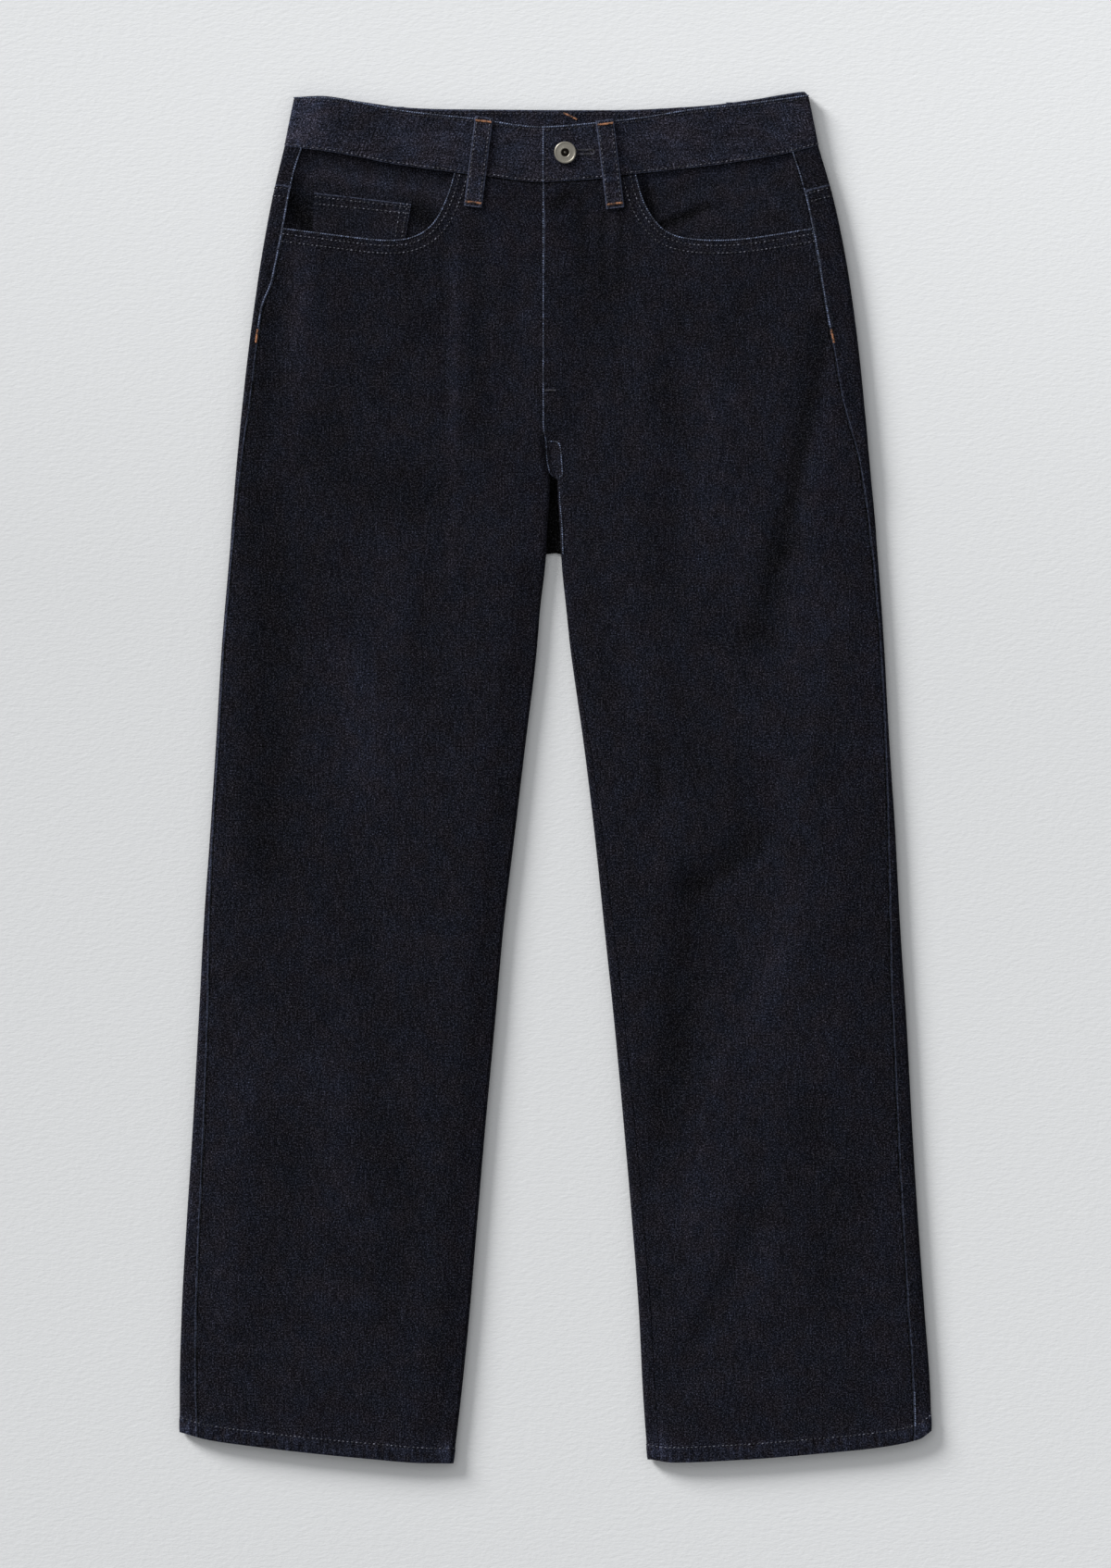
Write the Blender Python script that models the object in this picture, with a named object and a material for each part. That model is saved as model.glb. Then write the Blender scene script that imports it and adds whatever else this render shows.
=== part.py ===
"""Tapered jeans laid flat, front up.

Lengths are millimetres until a mesh is written. X runs across, with the wearer's right leg at -X.
Y runs up to the waist and Z up from the surface that the jeans lie on. The origin is at the middle
of that surface.

Each leg is a flattened tube. A back piece starts at the side seam on top, turns round the outer fold,
runs along the underside and turns up round the inner fold to the inseam. A front panel closes the top.
Over the seat the underside is lifted, and the patch pockets and back belt loops lie in that space.
"""

import math

import bpy
import numpy as np

MILLIMETRE = 0.001

# Cloth
DENIM = 1.1
BAND_CLOTH = 2.6
HEM_CLOTH = 2.4
SEAM_GAP = 0.3
LEG_SEAM_GAP = 0.4
WAIST_GAP = 0.5

# Folded edges and layers
FOLD = 2.9
BAND_FOLD = 3.05
SEAT_LIFT = 1.4
SEAT_LIFT_FROM = 190.0
SEAT_LIFT_TO = 235.0
CREASE_FADE = 15.0

# Fly, centre seams and crotch
LAP_X = -9.5
UNDERLAP = 8.0
BAND_UNDERLAP = 34.0
FLY_RISE = 1.4
FLY_FLAT = 10.0
FLY_SLOPE = 17.0
FLY_END = (262.0, 250.0)
UNDERLAP_END = (270.0, 262.0)
BAND_RISE = 2.9
BAND_FLAT = 36.0
BAND_SLOPE = 42.0
BAND_RISE_REACH = 18.0
CROTCH_Y = 223.7
CROTCH_TURN = 5.7
GROOVE_TOP = (252.0, 246.0)
GROOVE_DEPTH = 2.4
GROOVE_FLAT = 6.0
GROOVE_SLOPE = 4.0
SADDLE_Y = (166.5, 164.0)
BACK_CENTRE_SHIFT = 10.9
BACK_CENTRE_FROM = (230.0, 480.0)
YOKE_CENTRE_Y = 386.0
YOKE_SIDE_Y = 435.0
YOKE_SIDE_X = 200.0

# Hems
HEM_DEPTH = 11.5
HEM_STEP = 0.4

# Pockets
SCOOP_END_Y = 403.5
FACING_UNDER = 11.0
FACING_FLOOR = 4.0
FACING_SIDE_RISE = 1.7
FACING_SIDE_REACH = 5.0
FACING_WAIST_RISE = 1.4
FACING_WAIST_REACH = 8.0
BACK_POCKET = {"inner": 32.0, "outer": 176.0, "top": 392.0, "side": 262.0, "point": 240.0, "taper": 6.0}

# Belt loops
LOOP_WIDTH = 13.2
LOOP_CLOTH = 1.2
LOOP_CLEAR = 0.45
LOOP_BULGE = 1.4

# Button
BUTTON_AT = (7.1, 458.7)
BUTTON_PROFILE = (
    # radius, height above the seat
    (0.0, 0.0),
    (6.9, 0.0),
    (7.9, 0.5),
    (8.1, 1.2),
    (7.6, 1.9),
    (6.9, 2.0),
    (6.4, 1.7),
    (3.6, 1.7),
    (3.1, 1.4),
    (2.9, 0.8),
    (1.1, 0.8),
    (0.9, 1.5),
    (0.0, 1.7),
)
BUTTON_SIDES = 20

OUTER_EDGE = (
    # y, right leg, left leg: distance of the outer fold from the centre line
    (464.0, 199.0, 193.0),
    (421.6, 208.8, 205.0),
    (367.2, 218.3, 215.6),
    (299.2, 227.1, 224.4),
    (231.2, 233.8, 230.8),
    (163.2, 239.4, 236.6),
    (95.2, 245.1, 241.4),
    (27.2, 249.2, 245.1),
    (-40.8, 253.6, 249.6),
    (-108.8, 258.4, 253.2),
    (-176.8, 262.1, 257.7),
    (-258.4, 266.6, 262.1),
    (-326.4, 271.0, 266.4),
    (-394.4, 274.7, 271.3),
    (-448.8, 276.1, 275.2),
    (-480.0, 276.1, 276.1),
    (-506.6, 276.1, 276.1),
)

INNER_EDGE = (
    # y, right leg, left leg: distance of the inner fold from the centre line,
    # then of each inseam from the fold's outermost line, measured over the top of the fold
    (231.0, 4.2, 1.7, -1.4, -1.4),
    (218.0, 4.1, 1.7, -1.4, -1.4),
    (200.0, 4.7, 2.2, -1.4, -1.4),
    (189.0, 5.7, 3.2, -1.4, -1.4),
    (163.0, 7.0, 4.2, -1.4, -1.4),
    (121.0, 11.6, 8.2, 1.4, 1.6),
    (95.0, 13.6, 10.9, 3.0, 3.8),
    (27.0, 21.8, 20.4, 3.6, 6.0),
    (-41.0, 29.9, 28.6, 3.6, 7.4),
    (-109.0, 38.1, 35.7, 3.6, 8.4),
    (-177.0, 44.2, 42.8, 3.6, 9.2),
    (-258.0, 51.7, 50.3, 3.6, 9.8),
    (-326.0, 57.5, 56.1, 3.6, 10.2),
    (-394.0, 63.2, 61.2, 3.6, 10.5),
    (-449.0, 68.7, 63.9, 3.6, 10.7),
    (-507.0, 75.5, 68.0, 3.6, 10.7),
)

SIDE_SEAM = (
    # y, right leg, left leg: distance of the side seam in from the outer fold
    (464.0, 13.6, 21.1),
    (442.0, 12.0, 20.4),
    (404.0, 12.6, 20.5),
    (367.0, 11.3, 20.8),
    (343.0, 6.2, 20.4),
    (316.0, 5.7, 18.3),
    (283.0, 5.4, 16.3),
    (231.0, 3.0, 7.5),
    (163.0, 1.6, 3.7),
    (54.0, 1.7, 2.4),
    (-41.0, 1.9, 5.1),
    (-109.0, 3.9, 7.3),
    (-163.0, 6.1, 9.5),
    (-245.0, 7.8, 10.3),
    (-367.0, 10.2, 11.6),
    (-507.0, 13.3, 13.0),
)

WAIST_FRONT = (
    # x, y of the seam under the front waistband
    (-199.0, 464.0),
    (-155.7, 458.0),
    (-121.0, 451.0),
    (-70.7, 444.0),
    (-46.9, 441.3),
    (-9.5, 437.2),
    (5.4, 437.9),
    (34.7, 440.0),
    (52.4, 442.7),
    (91.1, 446.8),
    (135.3, 452.5),
    (172.0, 459.0),
    (193.0, 464.4),
)

WAIST_BACK = (
    # x, y of the seam under the back waistband
    (-199.0, 464.0),
    (-142.1, 455.0),
    (-80.9, 450.5),
    (0.0, 449.7),
    (72.1, 450.8),
    (143.5, 457.0),
    (193.0, 464.4),
)

BAND_TOP_FRONT = (
    # x, y of the top edge of the front waistband
    (-191.8, 499.8),
    (-173.4, 499.6),
    (-106.8, 489.2),
    (-59.8, 484.2),
    (-9.5, 478.0),
    (28.6, 480.8),
    (67.3, 485.5),
    (101.3, 491.0),
    (135.3, 494.5),
    (179.5, 500.4),
    (185.6, 501.3),
)

BAND_TOP_BACK = (
    # x, y of the top edge of the back waistband
    (-191.8, 499.8),
    (-173.4, 500.8),
    (-142.1, 496.4),
    (-111.5, 492.3),
    (-80.9, 491.0),
    (41.5, 490.3),
    (102.7, 493.0),
    (143.5, 497.8),
    (174.1, 502.9),
    (182.5, 503.9),
    (185.6, 501.3),
)

SCOOP_RIGHT = (
    # x, y along the pocket mouth, from the waist seam out
    (-74.4, 443.9),
    (-78.9, 427.7),
    (-88.4, 407.3),
    (-103.4, 396.4),
    (-123.8, 394.1),
    (-155.0, 397.8),
    (-176.1, 400.5),
)

SCOOP_LEFT = (
    # x, y along the pocket mouth, from the waist seam out
    (59.2, 442.8),
    (64.3, 423.0),
    (73.4, 408.0),
    (84.3, 398.5),
    (105.4, 394.7),
    (135.3, 395.1),
    (164.6, 399.5),
)

COIN_POCKET = (
    # corners x, y: top outer, top inner, bottom inner, bottom outer
    (-177.2, 429.6),
    (-106.1, 421.2),
    (-111.6, 389.0),
    (-178.8, 392.0),
)

FRONT_CENTRE = (
    # y, x of the centre front seam, from the lap's edge to the crotch
    (437.0, -9.5),
    (260.0, -9.5),
    (245.5, -7.5),
    (233.9, -6.8),
    (223.7, -4.8),
)

HEM_RIGHT = (
    # x, y of the right leg's lower edge
    (-276.1, -481.0),
    (-254.3, -486.9),
    (-213.5, -492.3),
    (-172.7, -496.8),
    (-131.9, -500.5),
    (-91.1, -503.6),
    (-72.0, -503.9),
)

HEM_LEFT = (
    # x, y of the left leg's lower edge
    (66.0, -501.0),
    (82.3, -503.2),
    (133.3, -501.2),
    (194.5, -496.4),
    (235.3, -492.3),
    (265.9, -486.2),
    (276.1, -479.0),
)

FRONT_LOOPS = (
    # name, leg, middle of the top end, middle of the bottom end
    ("belt_loop_front_right", "right", (-52.5, 485.0), (-60.7, 419.1)),
    ("belt_loop_front_left", "left", (36.0, 482.8), (43.9, 418.1)),
)

BACK_LOOPS = (
    # name, x, length
    ("belt_loop_back_right", -118.0, 62.0),
    ("belt_loop_back_centre", 10.9, 60.0),
    ("belt_loop_back_left", 132.0, 62.0),
)

CREASES = (
    # first end x, y, last end x, y, half width, height (a trough is below zero)
    (-206.0, 200.0, -212.0, -70.0, 16.0, -1.3),
    (-88.0, 210.0, -96.0, 60.0, 14.0, -0.9),
    (-150.0, -60.0, -120.0, -300.0, 22.0, -0.9),
    (-196.0, -260.0, -210.0, -400.0, 18.0, -1.0),
    (-60.0, 330.0, -52.0, 250.0, 12.0, -0.8),
    (-150.0, 330.0, -165.0, 250.0, 14.0, -0.7),
    (196.0, 330.0, 166.0, 165.0, 10.0, -1.5),
    (166.0, 165.0, 158.0, 100.0, 12.0, -1.1),
    (150.0, -42.0, 100.0, -82.0, 11.0, -1.7),
    (100.0, -82.0, 92.0, -200.0, 16.0, -1.1),
    (92.0, 60.0, 110.0, -20.0, 13.0, -0.9),
    (200.0, 40.0, 214.0, -120.0, 16.0, -0.8),
    (190.0, -250.0, 200.0, -380.0, 18.0, -0.9),
    (30.0, 400.0, 36.0, 330.0, 9.0, -0.7),
    (90.0, 340.0, 70.0, 260.0, 14.0, -0.7),
)

ROWS = (
    # y of the cross rows that front and back share, from under the pockets to above the hem
    367.0, 355.0, 343.0, 330.0, 312.0, 290.0, 270.0, 250.0, 230.0, 205.0, 185.0, 166.5, 164.0, 156.0, 144.0,
    130.0, 112.0, 90.0, 60.0, 20.0, -20.0, -60.0, -109.0, -163.0, -225.0, -290.0, -360.0, -425.0,
)

CROTCH_ROWS = (
    # y of the further rows that a front panel needs at the fly's end and the crotch
    262.0, 256.0, 246.0, 240.0, 226.0, 223.7, 220.8, 218.0, 212.0,
)

NEAR_SEAM = (0.0, 1.6, 4.0, 9.0, 20.0)
FRONT_MIDDLE = 6
OUTER_TURN = 8
INNER_TURN = 6
UNDERSIDE = 4

LEGS = {
    "right": {"side": -1.0, "column": 1, "scoop": SCOOP_RIGHT, "hem": HEM_RIGHT},
    "left": {"side": 1.0, "column": 2, "scoop": SCOOP_LEFT, "hem": HEM_LEFT},
}

COLOURS = {
    # name: base colour, roughness, metallic
    "denim": ((0.0105, 0.0105, 0.0150), 0.9, 0.0),
    "denim_facing": ((0.0110, 0.0110, 0.0160), 0.9, 0.0),
    "denim_band": ((0.0150, 0.0150, 0.0220), 0.9, 0.0),
    "pewter": ((0.30, 0.28, 0.24), 0.35, 1.0),
}


# Curves and blends


def smooth(table, column, at):
    """Value of a table's column at a place in its first column, by a cubic with no overshoot."""
    rows = np.array(sorted(table), dtype=float)
    knots = rows[:, 0]
    values = rows[:, column]
    width = np.diff(knots)
    slope = np.diff(values) / width
    left, right = slope[:-1], slope[1:]
    harmonic = 2.0 * left * right / np.where(left * right > 0.0, left + right, 1.0)
    inner = np.where(left * right > 0.0, harmonic, 0.0)
    tangent = np.concatenate([slope[:1], inner, slope[-1:]])
    at = np.clip(np.asarray(at, dtype=float), knots[0], knots[-1])
    index = np.clip(np.searchsorted(knots, at) - 1, 0, len(width) - 1)
    part = (at - knots[index]) / width[index]
    start, end = values[index], values[index + 1]
    rise, fall = tangent[index] * width[index], tangent[index + 1] * width[index]
    bend = 3.0 * (end - start) - 2.0 * rise - fall
    twist = 2.0 * (start - end) + rise + fall
    return start + part * (rise + part * (bend + part * twist))


def step(value):
    """Smooth step from 0 to 1."""
    value = np.clip(value, 0.0, 1.0)
    return value * value * (3.0 - 2.0 * value)


def between(value, start, end):
    """Smooth step that is 0 at start and 1 at end, whichever is the greater."""
    return step((value - start) / (end - start))


def mix(first, last, part):
    return first + (last - first) * part


def stack(x, y, z):
    """Points as an array, from coordinates of any like shapes."""
    return np.stack(np.broadcast_arrays(x, y, z), axis=-1).astype(float)


# Heights of the laid layers


def lift(y):
    """Height of the underside's outer face: over the seat it lies on the patch pockets."""
    return SEAT_LIFT * between(y, SEAT_LIFT_FROM, SEAT_LIFT_TO)


def creases(x, y):
    """Height that the large soft folds add to the upper layer."""
    total = np.zeros(np.broadcast(x, y).shape)
    for x1, y1, x2, y2, half_width, height in CREASES:
        run = np.array([x2 - x1, y2 - y1])
        part = np.clip(((x - x1) * run[0] + (y - y1) * run[1]) / run.dot(run), 0.0, 1.0)
        far = np.hypot(x - x1 - part * run[0], y - y1 - part * run[1])
        total = total + height * np.exp(-((far / half_width) ** 2))
    return total


def outer_edge(leg, y):
    return smooth(OUTER_EDGE, leg["column"], y)


def inner_edge(leg, y):
    return smooth(INNER_EDGE, leg["column"], y)


def inseam(leg, y):
    return smooth(INNER_EDGE, leg["column"] + 2, y)


def side_seam_turn(leg, y):
    """Place of the side seam, measured over the outer fold from its outermost line."""
    inset = smooth(SIDE_SEAM, leg["column"], y)
    on_fold = FOLD * np.arccos(np.clip(1.0 - inset / FOLD, -1.0, 1.0))
    return np.where(inset < FOLD, on_fold, FOLD * math.pi / 2 + inset - FOLD)


def side_seam_x(leg, y):
    return leg["side"] * (outer_edge(leg, y) - smooth(SIDE_SEAM, leg["column"], y))


def band_rise(x):
    """Rise of the left waistband over the right one's end."""
    return BAND_RISE * (1.0 - between(x, LAP_X + BAND_FLAT, LAP_X + BAND_FLAT + BAND_SLOPE))


def lap(leg, x, y):
    """Rise of the left front over the right front at the fly, with the waistband's at the waist."""
    if leg["side"] < 0.0:
        return 0.0 * x
    across = 1.0 - between(x, LAP_X + FLY_FLAT, LAP_X + FLY_FLAT + FLY_SLOPE)
    fly = FLY_RISE * across * between(y, FLY_END[1], FLY_END[0])
    from_waist = np.clip(smooth(WAIST_FRONT, 1, x) - y, 0.0, None)
    near_waist = np.exp(-((from_waist / BAND_RISE_REACH) ** 2))
    return mix(fly, band_rise(x), near_waist)


def groove(leg, x, y):
    """Depth of the dip beside the centre front seam, just above the crotch."""
    away = leg["side"] * (x - smooth(FRONT_CENTRE, 1, y))
    flat = GROOVE_FLAT if leg["side"] > 0.0 else 0.0
    return GROOVE_DEPTH * (1.0 - between(away, flat, flat + GROOVE_SLOPE)) * between(y, *GROOVE_TOP)


def top_height(leg, x, y):
    """Height of a leg's upper outer face."""
    from_outer = outer_edge(leg, y) - leg["side"] * x
    from_inner = leg["side"] * x - inner_edge(leg, y)
    fade = step((from_outer - FOLD) / CREASE_FADE) * step((from_inner - FOLD) / CREASE_FADE)
    flat = lift(y) + 2.0 * FOLD + lap(leg, x, y) - groove(leg, x, y)
    return flat + fade * creases(x, y)


# Surfaces, each as points for its own two coordinates


def over_outer_fold(leg, turn, y):
    """Point by its distance over the outer fold, up and inwards being positive."""
    quarter = FOLD * math.pi / 2
    angle = np.clip(turn, -quarter, quarter) / FOLD
    inset = FOLD * (1.0 - np.cos(angle)) + np.clip(np.abs(turn) - quarter, 0.0, None)
    x = leg["side"] * (outer_edge(leg, y) - inset)
    on_fold = lift(y) + FOLD + FOLD * np.sin(angle)
    z = np.where(turn > quarter, top_height(leg, x, y), on_fold)
    return stack(x, y, z)


def over_inner_fold(leg, turn, y):
    """Point by its distance over the inner fold, up and outwards being positive."""
    quarter = FOLD * math.pi / 2
    angle = np.clip(turn, -quarter, quarter) / FOLD
    inset = FOLD * (1.0 - np.cos(angle)) + np.clip(np.abs(turn) - quarter, 0.0, None)
    x = leg["side"] * (inner_edge(leg, y) + inset)
    on_fold = lift(y) + FOLD + FOLD * np.sin(angle)
    z = np.where(turn > quarter, top_height(leg, x, y), on_fold)
    return stack(x, y, z)


def on_top(leg, x, y):
    return stack(x, y, top_height(leg, x, y))


def on_underside(leg, x, y):
    return stack(x, y, lift(y))


def normals(surface, first, y, turn_sign):
    """Outward unit normals of a surface, from its own slopes."""
    reach = 0.05
    along = surface(first + reach, y) - surface(first - reach, y)
    up = surface(first, y + reach) - surface(first, y - reach)
    cross = np.cross(along, up) * turn_sign
    return cross / np.linalg.norm(cross, axis=-1, keepdims=True)


# Solids


def orient(vertices, faces):
    """Faces turned to point out of the closed mesh."""
    volume = 0.0
    for face in faces:
        for second, third in zip(face[1:-1], face[2:]):
            volume += np.dot(vertices[face[0]], np.cross(vertices[second], vertices[third]))
    if volume > 0.0:
        return faces
    return [face[::-1] for face in faces]


def material(name):
    found = bpy.data.materials.get(name)
    if found:
        return found
    colour, roughness, metallic = COLOURS[name]
    made = bpy.data.materials.new(name)
    made.use_nodes = True
    shader = made.node_tree.nodes["Principled BSDF"]
    shader.inputs["Base Color"].default_value = (*colour, 1.0)
    shader.inputs["Roughness"].default_value = roughness
    shader.inputs["Metallic"].default_value = metallic
    return made


def add_object(name, vertices, faces, finish):
    """Object of a closed mesh given in millimetres."""
    vertices = np.asarray(vertices, dtype=float)
    mesh = bpy.data.meshes.new(name)
    mesh.from_pydata((vertices * MILLIMETRE).tolist(), [], orient(vertices, faces))
    mesh.materials.append(material(finish))
    mesh.shade_smooth()
    mesh.set_sharp_from_angle(angle=math.radians(40.0))
    made = bpy.data.objects.new(name, mesh)
    bpy.context.collection.objects.link(made)
    return made


def wall(name, outer, inner, finish):
    """Closed cloth wall between two like grids of points."""
    rows, columns = outer.shape[:2]
    vertices = np.concatenate([outer.reshape(-1, 3), inner.reshape(-1, 3)])
    under = rows * columns
    faces = []
    for i in range(rows - 1):
        for j in range(columns - 1):
            a = i * columns + j
            faces.append((a, a + 1, a + columns + 1, a + columns))
            faces.append((under + a, under + a + columns, under + a + columns + 1, under + a + 1))
    last = (rows - 1) * columns
    for j in range(columns - 1):
        faces.append((j, under + j, under + j + 1, j + 1))
        faces.append((last + j, last + j + 1, under + last + j + 1, under + last + j))
    for i in range(rows - 1):
        a = i * columns
        b = a + columns - 1
        faces.append((a, a + columns, under + a + columns, under + a))
        faces.append((b, under + b, under + b + columns, b + columns))
    return add_object(name, vertices, faces, finish)


def plate(name, grid, low, high, finish):
    """Flat piece over a grid of x, y points, between two heights."""
    outer = stack(grid[..., 0], grid[..., 1], high)
    inner = stack(grid[..., 0], grid[..., 1], low)
    return wall(name, outer, inner, finish)


# Back panels and yokes


def back_centre_x(y):
    return BACK_CENTRE_SHIFT * between(y, *BACK_CENTRE_FROM)


def back_grid(leg, y_rows):
    """Outer points and normals of a back piece, a row for each array of y, a column for each place."""
    side = leg["side"]
    quarter = FOLD * math.pi / 2
    points, outward = [], []

    def keep(surface, first, y, sign):
        points.append(surface(first, y))
        outward.append(normals(surface, first, y, sign))

    for part in np.linspace(0.0, 1.0, OUTER_TURN + 1):
        y = y_rows[:, len(points)]
        seam = side_seam_turn(leg, y) - LEG_SEAM_GAP / 2
        keep(lambda a, b: over_outer_fold(leg, a, b), mix(seam, -quarter, part), y, -side)
    for part in np.linspace(0.0, 1.0, UNDERSIDE + 1)[1:-1]:
        y = y_rows[:, len(points)]
        x = side * mix(outer_edge(leg, y) - FOLD, underside_end(leg, y), part)
        keep(lambda a, b: on_underside(leg, a, b), x, y, -1.0)
    for part in np.linspace(0.0, 1.0, INNER_TURN + 1):
        y = y_rows[:, len(points)]

        def turned(shift, at, part=part):
            seam = inseam(leg, at) - LEG_SEAM_GAP / 2
            round_fold = over_inner_fold(leg, mix(-quarter, seam, part) + shift, at)
            start = side * underside_end(leg, at)
            end = back_centre_x(at) + side * SEAM_GAP / 2
            flat = on_underside(leg, mix(start, end, part) - side * shift, at)
            return mix(round_fold, flat, between(at, SADDLE_Y[1], SADDLE_Y[0])[..., None])

        keep(turned, np.zeros_like(y), y, side)
    return np.stack(points, axis=1), np.stack(outward, axis=1)


def back_columns(leg, y, with_layer=False):
    """x of each column of a back piece at one height, and whether it lies on the upper layer."""
    count = OUTER_TURN + UNDERSIDE + INNER_TURN + 1
    row = back_grid(leg, np.full((1, count), y))[0][0]
    if with_layer:
        return row[:, 0], row[:, 2] > lift(y) + FOLD
    return row[:, 0]


def underside_end(leg, y):
    """Distance from the centre line at which the underside ends and the inner turn starts."""
    return inner_edge(leg, y) + FOLD + np.clip(leg["side"] * back_centre_x(y), 0.0, None)


def yoke_seam(x):
    """y of the seam between yoke and back panel."""
    return mix(YOKE_CENTRE_Y, YOKE_SIDE_Y, np.clip(np.abs(x) / YOKE_SIDE_X, 0.0, 1.0))


def hem_y(leg, x):
    return smooth(leg["hem"], 1, x)


def hem_rows(leg, start, x):
    """Rows down to the hem, with the step where its layers start, and the cloth's thickness at each."""
    end = hem_y(leg, x)
    above = end + HEM_DEPTH + 0.4
    below = end + HEM_DEPTH
    rows = [mix(start, above, 0.5), above, below, mix(below, end, 0.5), end]
    cloth = [DENIM, DENIM, HEM_CLOTH, HEM_CLOTH, HEM_CLOTH]
    return np.array(rows), cloth


def make_back(name, leg):
    seam = yoke_seam(back_columns(leg, YOKE_SIDE_Y)) - SEAM_GAP / 2
    start = [mix(seam, ROWS[0], part) for part in (0.0, 0.35, 0.7)]
    middle = [np.full_like(seam, y) for y in ROWS]
    low, low_cloth = hem_rows(leg, ROWS[-1], back_columns(leg, ROWS[-1]))
    y_rows = np.array(start + middle + list(low))
    cloth = np.array([DENIM] * (len(start) + len(middle)) + low_cloth)
    outer, outward = back_grid(leg, y_rows)
    return wall(name, outer, outer - outward * cloth[:, None, None], "denim")


def make_yoke(name, leg):
    x_low = back_columns(leg, YOKE_SIDE_Y)
    x_high, on_upper = back_columns(leg, WAIST_FRONT[0][1], with_layer=True)
    waist = np.where(on_upper, smooth(WAIST_FRONT, 1, x_high), smooth(WAIST_BACK, 1, x_high))
    high = waist - WAIST_GAP
    low = yoke_seam(x_low) + SEAM_GAP / 2
    y_rows = np.array([mix(high, low, part) for part in np.linspace(0.0, 1.0, 4)])
    outer, outward = back_grid(leg, y_rows)
    return wall(name, outer, outer - outward * DENIM, "denim")


# Front panels


def centre_end_x(leg, y):
    """x of a front's free or seamed edge at the centre, above the crotch."""
    seam = smooth(FRONT_CENTRE, 1, y)
    if leg["side"] > 0.0:
        return seam + SEAM_GAP / 2
    return seam - SEAM_GAP / 2 + (UNDERLAP + SEAM_GAP / 2) * between(y, UNDERLAP_END[1], UNDERLAP_END[0])


def front_inner_side(leg, away, y):
    """Point of a front by its distance from the edge at the centre seam or the inseam."""
    x = centre_end_x(leg, y) + leg["side"] * away
    level = on_top(leg, x, y)
    folded = over_inner_fold(leg, inseam(leg, y) + LEG_SEAM_GAP / 2 + away, y)
    return mix(folded, level, between(y, CROTCH_Y - CROTCH_TURN, CROTCH_Y)[..., None])


def front_outer_side(leg, away, y):
    """Point of a front by its distance from the side seam."""
    return over_outer_fold(leg, side_seam_turn(leg, y) + LEG_SEAM_GAP / 2 + away, y)


def front_rows(leg, y_rows):
    """Outer points and normals of a front panel below its pocket mouth."""
    side = leg["side"]
    points, outward = [], []
    for away in NEAR_SEAM:
        y = y_rows[:, len(points)]
        points.append(front_outer_side(leg, away, y))
        outward.append(normals(lambda a, b: front_outer_side(leg, a, b), np.full_like(y, away), y, -side))
    for part in np.linspace(0.0, 1.0, FRONT_MIDDLE + 1)[1:-1]:
        y = y_rows[:, len(points)]
        first = front_outer_side(leg, NEAR_SEAM[-1], y)[:, 0]
        last = front_inner_side(leg, NEAR_SEAM[-1], y)[:, 0]
        x = mix(first, last, part)
        points.append(on_top(leg, x, y))
        outward.append(normals(lambda a, b: on_top(leg, a, b), x, y, 1.0))
    for away in NEAR_SEAM[::-1]:
        y = y_rows[:, len(points)]
        points.append(front_inner_side(leg, away, y))
        outward.append(normals(lambda a, b: front_inner_side(leg, a, b), np.full_like(y, away), y, side))
    return np.stack(points, axis=1), np.stack(outward, axis=1)


def along(points, parts):
    """Points at given parts of the length of a chain of points."""
    points = np.asarray(points, dtype=float)
    length = np.concatenate([[0.0], np.cumsum(np.linalg.norm(np.diff(points, axis=0), axis=1))])
    at = np.asarray(parts) * length[-1]
    return np.stack([np.interp(at, length, points[:, axis]) for axis in (0, 1)], axis=1), length


def rounded(points, rounds=2):
    """Chain with its corners cut, with its ends kept."""
    points = np.asarray(points, dtype=float)
    for _ in range(rounds):
        cut = [points[0]]
        for first, last in zip(points[:-1], points[1:]):
            cut.append(mix(first, last, 0.25))
            cut.append(mix(first, last, 0.75))
        cut.append(points[-1])
        points = np.array(cut)
    return points


def scoop_line(leg):
    """Pocket mouth, from the waist seam to the side seam."""
    end = (side_seam_x(leg, SCOOP_END_Y), SCOOP_END_Y)
    return rounded(list(leg["scoop"]) + [end])


def front_top_line(leg):
    """Upper edge of a front, from the side seam along the pocket mouth and the waist seam."""
    scoop = scoop_line(leg)[::-1]
    x = np.linspace(leg["scoop"][0][0], centre_end_x(leg, np.array(WAIST_FRONT[5][1])), 12)[1:]
    waist = np.stack([x, smooth(WAIST_FRONT, 1, x) - WAIST_GAP], axis=1)
    return np.concatenate([scoop, waist]), len(scoop) - 1


def front_top_block(leg, rows):
    """Outer points and normals of a front between its upper edge and its first full row."""
    first_row = front_rows(leg, np.full((1, len(NEAR_SEAM) * 2 + FRONT_MIDDLE - 1), ROWS[0]))[0][0]
    chain, corner = front_top_line(leg)
    spread = np.abs(first_row[:, 0] - first_row[0, 0]) / abs(first_row[-1, 0] - first_row[0, 0])
    length = along(chain, [0.0])[1]
    corner_part = length[corner] / length[-1]
    nearest = int(np.argmin(np.abs(spread - corner_part)))
    spread[nearest] = corner_part
    edge = along(chain, spread)[0]
    away_high = edge[:, 0] - side_seam_x(leg, edge[:, 1])
    away_high[0] = leg["side"] * -LEG_SEAM_GAP / 2
    away_low = first_row[:, 0] - side_seam_x(leg, first_row[:, 1])
    points = []
    for part in np.linspace(0.0, 1.0, rows + 1)[:-1]:
        y = mix(edge[:, 1], first_row[:, 1], part)
        x = side_seam_x(leg, y) + mix(away_high, away_low, part)
        points.append(np.stack([x, y], axis=1))
    points = np.array(points)
    x, y = points[..., 0], points[..., 1]
    return on_top(leg, x, y), normals(lambda a, b: on_top(leg, a, b), x, y, 1.0)


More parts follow.
